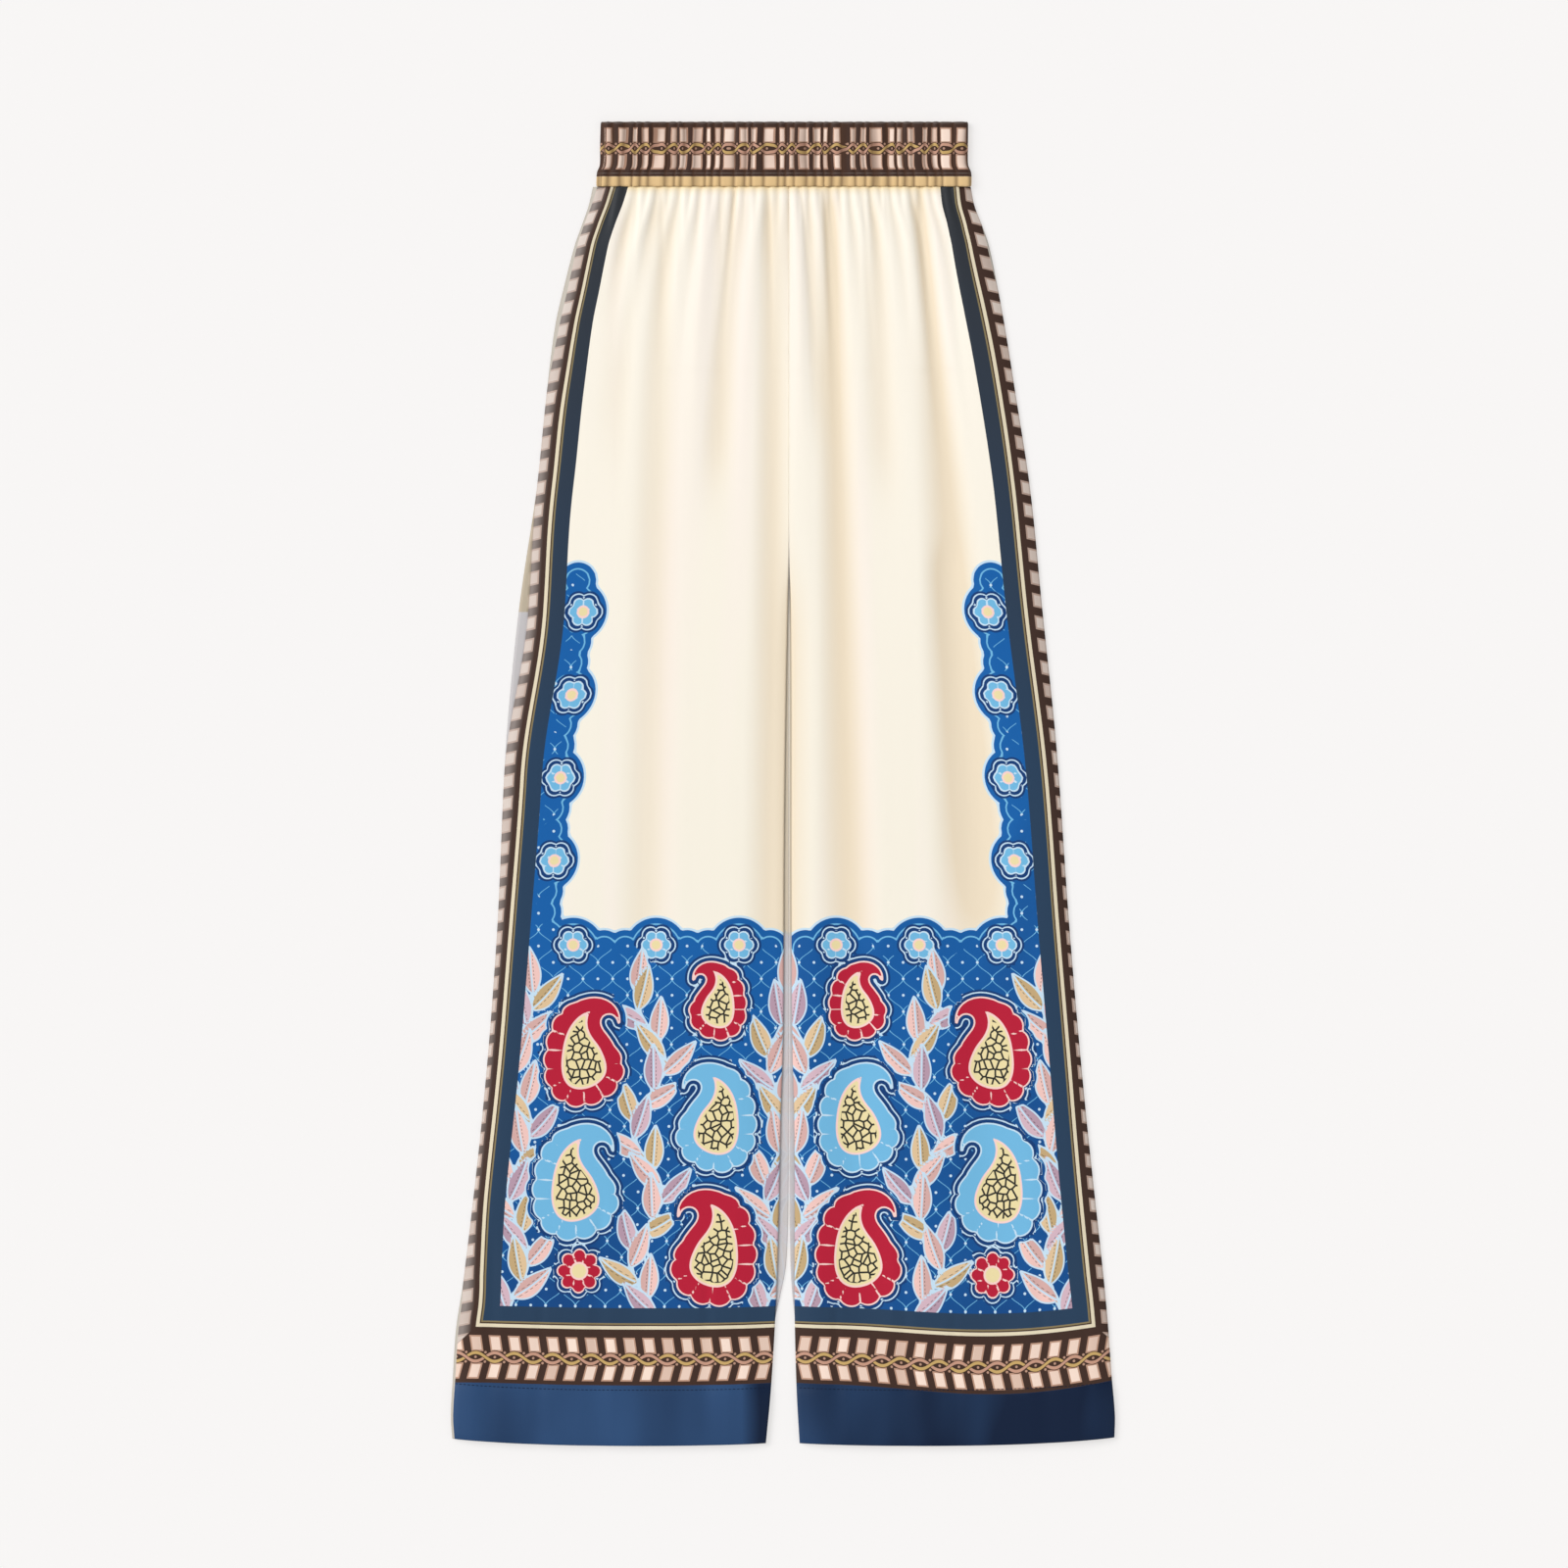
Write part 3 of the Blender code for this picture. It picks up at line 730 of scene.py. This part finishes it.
def band_object(materials):
    """The ruched casing: one closed ring of cloth round its elastic."""
    front_steps, end_steps, back_steps = BAND_RUCHES * 10, 10, BAND_RUCHES * 7
    half = BAND_THICKNESS / 2
    front, end, back = (np.arange(steps) / steps for steps in (front_steps, end_steps, back_steps))
    across, outward = np.sin(np.pi * end), np.cos(np.pi * end)
    u = np.concatenate([front, end * 0 + 1, 1 - back, end * 0])  # place along the width
    nx = np.concatenate([front * 0, across, back * 0, -across])
    nz = np.concatenate([front * 0 + 1, outward, back * 0 - 1, -outward])
    used = [BAND_RUCHES * front, BAND_RUCHES + end, BAND_RUCHES * (1 + back) + 1, 2 * BAND_RUCHES + 1 + end]
    ruches = np.concatenate(used)  # cloth used so far
    wander = 0.22 * np.sin(1.7 * ruches + 0.4) + 0.16 * np.sin(0.61 * ruches) + 0.1 * np.sin(4.3 * ruches)
    phase = ruches + wander

    section = [(0.0, 0.9), (0.25, 0.45), (0.9, 0.12), (2.0, 0.0)]
    section += [(drop, 0.0) for drop in np.arange(4.0, 50.0, 1.6)]
    section += [(50.8, 0.05), (51.9, 0.25), (BAND_DEPTH, 0.9)]
    section += [(drop, BAND_WALL) for drop in (51.6, 26.0, 1.2)]
    points, along, drops, hollow = [], [], [], []
    for drop, depth in section:
        left = float(between(BAND_EDGE, np.array([drop]), "left")[0]) - half
        right = -float(between(BAND_EDGE, np.array([drop]), "right")[0]) + half
        lean = phase + 0.035 * np.sin(drop / 9 + 1.9 * phase)
        rise = np.abs(np.sin(math.pi * lean))
        rise *= 0.85 + 0.3 * np.sin(2.9 * np.floor(lean)) * np.sin(drop / 17 + np.floor(lean))
        flat_back = np.where(nz < -0.5, 0.35, 1.0)
        outside = 1.0 if depth < BAND_WALL else 0.0
        radius = half - depth + outside * flat_back * (1.15 * rise - 0.3)
        x = right + (left - right) * u + nx * radius
        z = np.maximum(half + nz * radius, 0.0)
        y = np.full(len(u), LENGTH / 2 - drop)
        if depth == 0.9:
            y = y + (0.35 if drop == 0 else -0.1) * (rise - 0.8)
        points.append(np.stack([x, y, z], axis=1))
        along.append(RUCHE_CLOTH * lean)
        drops.append(np.full(len(u), drop if depth < BAND_WALL else 60.0))
        hollow.append(np.clip(0.7 - rise, 0, 0.7) / 0.7)
    corner = np.arange(len(section) * len(u)).reshape(len(section), len(u))
    below, beside = np.roll(corner, -1, axis=0), np.roll(corner, -1, axis=1)
    faces = np.stack([corner, below, np.roll(below, -1, axis=1), beside], axis=-1).reshape(-1, 4)
    made = mesh_object("ruched_waistband", np.concatenate(points), faces.tolist(), materials)
    store(made, "along", np.concatenate(along))
    store(made, "drop", np.concatenate(drops))
    store(made, "hollow", np.concatenate(hollow))
    return made


def hem_stitches(panel, material):
    """A row of short stitches that hold the turned-up hem."""
    row = int(np.argmin(np.abs(panel.height[:, 0] - HEM_DEPTH)))
    x, y, z = panel.x[row], panel.y[row], panel.z[row]
    order = np.argsort(x)
    x, y, z = x[order], y[order], z[order]
    pitch, length, thick = 3.4, 2.3, 0.26
    lift = 0.1 if panel.is_front else 0.25
    points, faces = [], []
    for start in np.arange(x[0] + 2, x[-1] - 4, pitch):
        ends = [start, start + length * 0.25, start + length * 0.75, start + length]
        base = len(points)
        for place, girth in zip(ends, (0.35, 1.0, 1.0, 0.35)):
            py, pz = np.interp(place, x, y), np.interp(place, x, z) + lift
            for k in range(6):
                angle = 2 * math.pi * k / 6
                around = thick * girth
                points.append((place, py + around * math.cos(angle), pz + around * 0.8 * math.sin(angle)))
        for ring in range(3):
            for k in range(6):
                a, b = base + ring * 6 + k, base + ring * 6 + (k + 1) % 6
                faces.append((a, a + 6, b + 6, b))
        faces.append(tuple(base + k for k in range(6)))
        faces.append(tuple(base + 18 + k for k in reversed(range(6))))
    return mesh_object("hem_stitches_" + panel.node, points, faces, [material])


# ---- Materials ----
def linear(colour):
    """A display colour of 0 to 255 as the linear colour that a shader takes."""
    parts = [c / 255 for c in colour]
    return [c / 12.92 if c <= 0.04045 else ((c + 0.055) / 1.055) ** 2.4 for c in parts] + [1.0]


class Value:
    """A number in a material's nodes: arithmetic on it adds Math nodes."""

    def __init__(self, tree, socket):
        self.tree = tree
        self.socket = socket

    def math(self, operation, *others):
        node = self.tree.nodes.new("ShaderNodeMath")
        node.operation = operation
        for k, item in enumerate((self, *others)):
            if isinstance(item, Value):
                self.tree.links.new(item.socket, node.inputs[k])
            else:
                node.inputs[k].default_value = item
        return Value(self.tree, node.outputs[0])

    def __add__(self, other):
        return self.math("ADD", other)

    def __sub__(self, other):
        return self.math("SUBTRACT", other)

    def __rsub__(self, other):
        return (self * -1.0) + other

    def __mul__(self, other):
        return self.math("MULTIPLY", other)

    def __truediv__(self, other):
        return self.math("DIVIDE", other)

    def below(self, edge, soft=0.3):
        """1 where the value is under this edge, with a soft step of that width."""
        return ((self - edge) * (-1.0 / soft) + 0.5).clamped()

    def above(self, edge, soft=0.3):
        return ((self - edge) * (1.0 / soft) + 0.5).clamped()

    def within(self, low, high, soft=0.3):
        return self.above(low, soft) * self.below(high, soft)

    def clamped(self):
        made = self * 1.0
        made.socket.node.use_clamp = True
        return made

    def largest(self, other):
        return self.math("MAXIMUM", other)

    def smallest(self, other):
        return self.math("MINIMUM", other)

    def size(self):
        return self.math("ABSOLUTE")

    def chance(self):
        """A number from 0 to 1 drawn for each whole number."""
        node = self.tree.nodes.new("ShaderNodeTexWhiteNoise")
        node.noise_dimensions = "1D"
        self.tree.links.new(self.math("FLOOR").socket, node.inputs["W"])
        return Value(self.tree, node.outputs["Value"])

    def saw(self, pitch):
        """Distance from the nearest of a row of lines this far apart."""
        return ((self / pitch).math("FRACT") - 0.5).size() * -pitch + pitch / 2


def read(tree, name, part=None):
    """An attribute of the mesh, or one component of a vector attribute."""
    node = tree.nodes.new("ShaderNodeAttribute")
    node.attribute_name = name
    if part is None:
        return Value(tree, node.outputs["Fac"])
    split = tree.nodes.new("ShaderNodeSeparateXYZ")
    tree.links.new(node.outputs["Vector"], split.inputs[0])
    return Value(tree, split.outputs[part])


def reach_of(sideways, upwards):
    """The distance that these two make together."""
    return (sideways * sideways + upwards * upwards).math("SQRT")


def noise(tree, scale, detail, stretch):
    """Soft unevenness fixed in the cloth, drawn out along each axis by stretch."""
    place = tree.nodes.new("ShaderNodeTexCoord")
    mapping = tree.nodes.new("ShaderNodeMapping")
    mapping.inputs["Scale"].default_value = stretch
    texture = tree.nodes.new("ShaderNodeTexNoise")
    texture.inputs["Scale"].default_value = scale
    texture.inputs["Detail"].default_value = detail
    tree.links.new(place.outputs["Object"], mapping.inputs["Vector"])
    tree.links.new(mapping.outputs["Vector"], texture.inputs["Vector"])
    return Value(tree, texture.outputs["Fac"])


class Dye:
    """Colour painted in layers, each through a mask."""

    def __init__(self, tree, colour):
        self.tree = tree
        start = tree.nodes.new("ShaderNodeRGB")
        start.outputs[0].default_value = linear(colour)
        self.socket = start.outputs[0]

    def paint(self, mask, colour):
        node = self.tree.nodes.new("ShaderNodeMix")
        node.data_type = "RGBA"
        factor, below, above = node.inputs[0], node.inputs[6], node.inputs[7]
        if isinstance(mask, Value):
            self.tree.links.new(mask.socket, factor)
        else:
            factor.default_value = mask
        self.tree.links.new(self.socket, below)
        if isinstance(colour, tuple):
            above.default_value = linear(colour)
        else:
            self.tree.links.new(colour, above)
        self.socket = node.outputs[2]

    def colour(self, shader):
        self.tree.links.new(self.socket, shader.inputs["Base Color"])


def new_material(name, roughness, sheen):
    """A material with its shader and the constants of silk."""
    made = bpy.data.materials.new(name)
    made.use_nodes = True
    shader = made.node_tree.nodes["Principled BSDF"]
    shader.inputs["Roughness"].default_value = roughness
    shader.inputs["Specular IOR Level"].default_value = 0.14
    shader.inputs["Sheen Weight"].default_value = sheen
    shader.inputs["Sheen Roughness"].default_value = 0.4
    return made, made.node_tree, shader


def palette(tree, index, colours):
    """The colour at this place, from 0 to 1, along a row of flat colours."""
    ramp = tree.nodes.new("ShaderNodeValToRGB")
    ramp.color_ramp.interpolation = "CONSTANT"
    stops = ramp.color_ramp.elements
    while len(stops) < len(colours):
        stops.new(0.5)
    for k, colour in enumerate(colours):
        stops[k].position = k / len(colours)
        stops[k].color = linear(colour)
    tree.links.new(index.socket, ramp.inputs["Fac"])
    return ramp.outputs["Color"]


def paint_bars(dye, along, across, middle, lean, mask, pitch, tile, tan):
    """A row of leaning bars, each a little lighter or darker than the next."""
    place = along + (across - middle) * lean
    upright = place.saw(pitch) * -1.0 + pitch / 2
    outside = (upright - 0.31 * pitch).largest((across - middle).size() - BAR_REACH)
    dye.paint(outside.below(0) * mask, tan)
    dye.paint(outside.below(-1.3) * mask, tile)
    dye.paint(outside.below(-1.3) * (place / pitch + middle).chance() * mask * 0.6, tan)


def paint_twist(dye, along, across, mask, pitch, tan):
    """Two strands twisted round each other along the middle of the border, and beads round them."""
    turn = along * (math.pi / pitch)
    swing = turn.math("SINE") * TWIST_REACH
    level = across - BORDER / 2
    first, second = (level - swing).size(), (level + swing).size()
    second_over = turn.math("COSINE").above(0, 0.02)
    layers = [(second, ROSE_TAN, mask), (first, STRAND_GOLD, mask), (second, ROSE_TAN, mask * second_over)]
    for strand, colour, over in layers:
        dye.paint(strand.below(TWIST_STRAND + 0.6) * over, BROWN)
        dye.paint(strand.below(TWIST_STRAND) * over, colour)
    crossing = along.saw(pitch)
    beads = reach_of(crossing, level.size() - TWIST_REACH - 0.3)
    eyes = reach_of(crossing - pitch / 2, level)
    dye.paint(beads.smallest(eyes).below(1.0) * mask, tan)


def paint_border(dye, along, across, mask, pitch, tile, tan=TAN, lean=BAR_LEAN):
    """Two rows of leaning bars and a twist between them on brown, over the height of the border."""
    dye.paint(mask, BROWN)
    paint_bars(dye, along, across, BAR_INSET, lean, mask, pitch, tile, tan)
    paint_bars(dye, along, across, BORDER - BAR_INSET, -lean, mask, pitch, tile, tan)
    paint_twist(dye, along, across, mask, pitch, tan)


def bump(tree, height, strength, distance, under=None):
    """A bump of these heights, laid over the one under it."""
    node = tree.nodes.new("ShaderNodeBump")
    node.inputs["Strength"].default_value = strength
    node.inputs["Distance"].default_value = distance * MM
    tree.links.new(height.socket, node.inputs["Height"])
    if under is not None:
        tree.links.new(under, node.inputs["Normal"])
    return node.outputs["Normal"]


def weave(tree, shader, across, along):
    """Fine twill lines, and the slight unevenness of silk thread."""
    lines = ((across + along) * (2 * math.pi / TWILL_PITCH)).math("SINE")
    thread = noise(tree, 900.0, 2.0, (1.0, 0.15, 1.0))
    twill = bump(tree, lines * 0.35 + thread, 0.25, 0.05)
    streaks = bump(tree, noise(tree, 60.0, 3.0, (1.0, 0.08, 1.0)), 0.5, 0.6, under=twill)
    tree.links.new(streaks, shader.inputs["Normal"])


def net(across, height):
    """Distance from a net of wavy lines, and from the dots where they meet and in its meshes."""
    sway = (height * (2 * math.pi / NET_HEIGHT)).math("SINE") * (NET_WIDTH / 4)
    lines = (across + sway).saw(NET_WIDTH).smallest((across - sway + NET_WIDTH / 2).saw(NET_WIDTH))
    sideways = (across + NET_WIDTH / 4).saw(NET_WIDTH / 2)
    upwards = (height + NET_HEIGHT / 4).saw(NET_HEIGHT / 2)
    return lines, reach_of(sideways, upwards)


def mosaic(tree, across, height, cell):
    """Distance from the joints of an uneven mosaic."""
    place = tree.nodes.new("ShaderNodeCombineXYZ")
    tree.links.new((across / cell).socket, place.inputs[0])
    tree.links.new((height / cell).socket, place.inputs[1])
    texture = tree.nodes.new("ShaderNodeTexVoronoi")
    texture.voronoi_dimensions = "2D"
    texture.feature = "DISTANCE_TO_EDGE"
    texture.inputs["Scale"].default_value = 1.0
    tree.links.new(place.outputs[0], texture.inputs["Vector"])
    return Value(tree, texture.outputs["Distance"]) * cell


def sideways_place(tree):
    """How far to the wearer's left a point of the cloth is, in metres."""
    place = tree.nodes.new("ShaderNodeTexCoord")
    split = tree.nodes.new("ShaderNodeSeparateXYZ")
    tree.links.new(place.outputs["Object"], split.inputs[0])
    return Value(tree, split.outputs[0])


def on_wearer_right(tree):
    """1 on the wearer's right leg, where a painted sheen makes the side's border paler."""
    return sideways_place(tree).below(0.0, 0.02)


def hem_sheen_and_shade(tree):
    """How far painted shade deepens the hem's navy: deeper on the wearer's left, lighter as a painted sheen
    on the wearer's right, deeper beside the right inseam where the cloth turns from the light, and cloudy as
    random tone.
    """
    sideways = sideways_place(tree)
    cloudy = noise(tree, 9.0, 2.0, (1.3, 0.5, 1.0))
    beside_inseam = ((sideways + 0.016).size() * -55.0 + 1.0).clamped()
    return (sideways * 1.7 + cloudy * 1.7 + beside_inseam * 0.8 - 0.3).clamped()


def silk_material(name, faded):
    """The printed silk. The wrong side shows the same print, faded, under a khaki that is partly painted
    shade.
    """
    made, tree, shader = new_material(name, 0.46, 0.12)
    from_side, height, across = (read(tree, "cloth", k) for k in range(3))
    edge, vein, heart = (read(tree, "figure", k) for k in range(3))
    ground = read(tree, "ground")
    tone = read(tree, "tone")

    dye = Dye(tree, CREAM)
    dye.paint(((height * -1.0 + 900.0) / 600.0).clamped() * 0.5, LOW_CREAM)
    streaks = ((noise(tree, 26.0, 1.0, (1.0, 0.06, 1.0)) - 0.5) * 4.0).clamped()
    dye.paint(streaks * 0.7, PINK_STREAK)
    # Painted shade: the hollows of the creases are darkened and warmed, the more the deeper they lie.
    dye.paint((read(tree, "hollow") * 0.36).clamped(), CREASE_SHADE)
    # Yellowish cream just under the waist seam, darkened further as painted shade from the seam.
    near_waist = ((height - (LENGTH - WAIST_SEAM)) / 9.0 + 1.0).clamped()
    dye.paint(near_waist * near_waist * 0.9, SEAM_YELLOW_AND_SHADE)
    blue = ground.below(0)
    cloudy = ((noise(tree, 7.0, 2.0, (1.0, 0.6, 1.0)) - 0.4) * 3.2).clamped()
    toward_hem = (height * -1.0 + 330.0) / 400.0
    dye.paint(ground.below(1.8), PALE_BLUE)
    dye.paint(blue, BLUE)
    dye.paint(blue * (cloudy * 0.6 + toward_hem).clamped() * 0.9, DEEP_BLUE)
    lines, middles = net(across, height)
    clear = ground.below(-9.0) * edge.above(2.0)
    dye.paint(clear * lines.below(NET_LINE), LIGHT_BLUE)
    dye.paint(clear * middles.below(NET_DOT), PALE_BLUE)
    dye.paint(ground.within(-5.8, -4.6), LIGHT_BLUE)

    outlines = palette(tree, tone, [t.outline for t in TONES])
    body = edge.below(0)
    not_leaf = heart.below(LEAF_HEART)
    dye.paint(edge.below(BOTEH_GAP) * heart.within(BEAD_RING, LEAF_HEART) * blue, DEEP_BLUE)
    dye.paint(edge.within(HALO - 0.55, HALO + 0.55) * not_leaf * blue, PALE_BLUE)
    dye.paint(reach_of(edge - BEAD_RING, vein).below(BEAD) * not_leaf, PALE_BLUE)
    dye.paint(edge.below(FIGURE_OUTLINE), outlines)
    dye.paint(body, palette(tree, tone, [t.body for t in TONES]))
    leaf = body * heart.above(LEAF_HEART)
    dye.paint(leaf * vein.below(0) * 0.3, PALE_PINK)
    dye.paint(leaf * vein.above(0) * 0.34, LEAF_SHADE)
    dye.paint(leaf * vein.size().within(1.7, 2.3) * height.saw(3.0).below(0.8) * 0.7, DARK_EYE)
    dye.paint(body * vein.size().below(0.7), outlines)
    dye.paint(body * heart.below(1.6), PALE_PINK)
    dye.paint(body * heart.below(0), EYE_CREAM)
    dye.paint(body * heart.below(PLAIN_EYE - 0.5) * mosaic(tree, across, height, 6.0).below(0.75), DARK_EYE)

    side_frame = SIDE_FRAME - from_side
    hem_frame = HEM_FRAME - height
    frame = side_frame.largest(hem_frame)
    on_side = (side_frame - hem_frame).above(0, 0.5)
    along = height * (HEM_BARS / SIDE_BARS) * on_side + across * (1.0 - on_side)
    dye.paint(frame.above(0), NAVY)
    dye.paint(frame.above(0) * ((height - 560.0) / 500.0).clamped(), CHARCOAL)
    stripes = [(NAVY_LINE, LINE_GOLD), (GOLD_LINE, BROWN), (DARK_LINE, LINE_CREAM), (CREAM_LINE, BROWN)]
    for start, colour in stripes:
        dye.paint(frame.above(start), colour)
    paint_border(dye, along, frame - BROWN_LINE, frame.above(BROWN_LINE) * (1.0 - on_side), HEM_BARS, TILE)
    side_border_zone = frame.above(SIDE_BORDER) * on_side
    # The side border's tiles are a darker copy of the hem's: painted shade where the cloth curves down to
    # the seam.
    paint_border(dye, along, frame - SIDE_BORDER, side_border_zone, HEM_BARS, SHADED_SIDE_TILE, tan=SIDE_TAN)
    # Painted sheen: on the wearer's right leg the side border turns paler outwards, where the light from the
    # left rakes the edge.
    paler = ((side_frame - SHEEN_START) / SHEEN_WIDTH).clamped() * on_wearer_right(tree)
    dye.paint(side_border_zone * paler * 0.3, SHEEN_TILE)
    hem = hem_frame.above(HEM_FRAME - HEM_BAND)
    dye.paint(hem, HEM_NAVY)
    # Painted sheen and shade on the hem's navy, with cloudy random tone.
    dye.paint(hem * hem_sheen_and_shade(tree), HEM_SHADE)
    dye.paint(from_side.below(0), SELVEDGE)
    # The wrong side: faded print, its cream turned to khaki, partly the silk's dull back and partly painted
    # shade for where it shows between the legs.
    if faded:
        dye.paint(0.75, BACK_KHAKI_AND_SHADE)
        dye.paint(blue * 0.7, WORN_BLUE)
    dye.colour(shader)
    weave(tree, shader, from_side, height)
    return made


def band_material():
    """The same border, run round the casing and squeezed by its ruches."""
    made, tree, shader = new_material("ruched_silk", 0.5, 0.1)
    along = read(tree, "along")
    drop = read(tree, "drop")
    dye = Dye(tree, CREAM)
    top, foot, gold = BAND_EDGES
    across = (drop - top) * (BORDER / (foot - top))
    paint_border(dye, along, across, drop.below(foot), BAND_BARS, TILE, lean=0.0)
    dye.paint(drop.below(top), BAND_TOP)
    dye.paint(drop.within(foot, gold), BROWN)
    dye.paint(drop.within(gold, 55.0), GOLD)
    dye.paint(read(tree, "hollow") * 0.66, BAND_SHADE)
    dye.colour(shader)
    weave(tree, shader, along, drop)
    return made


def thread_material():
    """Navy thread with a little unevenness."""
    made, tree, shader = new_material("navy_thread", 0.6, 0.0)
    dye = Dye(tree, THREAD)
    dye.paint(noise(tree, 400.0, 2.0, (1.0, 1.0, 1.0)) * 0.06, THREAD_SHADE)
    dye.colour(shader)
    return made


def floor_material():
    """A pale sheet lit partly from below, so that shadows on it stay faint."""
    made, tree, shader = new_material("pale_floor", 0.9, 0.0)
    shader.inputs["Base Color"].default_value = [FLOOR_MATT * c for c in linear(FLOOR)[:3]] + [1.0]
    shader.inputs["Emission Color"].default_value = linear(FLOOR)
    shader.inputs["Emission Strength"].default_value = FLOOR_GLOW
    return made


# ---- Stage ----
def build_stage():
    """A plain pale floor, soft studio light from the upper left, and the camera overhead."""
    bpy.ops.mesh.primitive_plane_add(size=FLOOR_SIZE, location=(0, 0, -FLOOR_GAP * MM))
    floor = bpy.context.object
    floor.name = "floor"
    floor.data.materials.append(floor_material())
    Sun = namedtuple("Sun", "name direction strength softness")
    suns = [
        Sun("key", (0.66, -0.34, -0.67), 2.13, 40.0),
        Sun("fill", (-0.45, 0.30, -0.85), 0.4, 60.0),
    ]
    for sun in suns:
        light = bpy.data.lights.new(sun.name, "SUN")
        light.energy = sun.strength
        light.angle = math.radians(sun.softness)
        made = bpy.data.objects.new(sun.name, light)
        made.rotation_euler = Vector(sun.direction).to_track_quat("-Z", "Y").to_euler()
        bpy.context.scene.collection.objects.link(made)
    world = bpy.data.worlds.new("studio")
    world.use_nodes = True
    background = world.node_tree.nodes["Background"]
    background.inputs["Color"].default_value = (1, 1, 1, 1)
    background.inputs["Strength"].default_value = WORLD_LIGHT
    bpy.context.scene.world = world
    bpy.context.scene.view_settings.view_transform = "Standard"

    camera = bpy.data.cameras.new("camera")
    camera.lens = LENS
    camera.sensor_width = SENSOR
    made = bpy.data.objects.new("camera", camera)
    made.location = (0, 0, VIEW_WIDTH * LENS / SENSOR)
    bpy.context.scene.collection.objects.link(made)
    bpy.context.scene.camera = made


def build_garment():
    """Every piece, riding on the garment's one body."""
    printed = silk_material("printed_silk", faded=False)
    wrong_side = silk_material("silk_wrong_side", faded=True)
    thread = thread_material()
    sides = ("left", "right")
    panels = [Panel(f"front_{side}_leg", side, FRONT_COLUMNS, FRONT_ROWS, True) for side in sides]
    panels += [Panel(f"back_{side}_leg", side, BACK_COLUMNS, BACK_ROWS, False) for side in sides]
    for panel in panels:
        if panel.is_front:
            shape_front(panel)
        else:
            shape_back(panel)
        silk = panel_object(panel, [printed, wrong_side])
        stitches = hem_stitches(panel, thread)
        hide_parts(panel.node)
        for piece in (silk, stitches):
            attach(piece, "root")
    band = band_object([band_material()])
    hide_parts("waistband")
    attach(band, "root")


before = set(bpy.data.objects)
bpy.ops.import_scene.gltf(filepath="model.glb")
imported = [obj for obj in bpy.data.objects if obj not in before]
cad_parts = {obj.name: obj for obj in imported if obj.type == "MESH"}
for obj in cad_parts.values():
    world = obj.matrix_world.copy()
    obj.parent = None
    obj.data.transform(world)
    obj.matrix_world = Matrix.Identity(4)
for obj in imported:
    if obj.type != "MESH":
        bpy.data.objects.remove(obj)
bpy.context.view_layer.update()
build_garment()
build_stage()
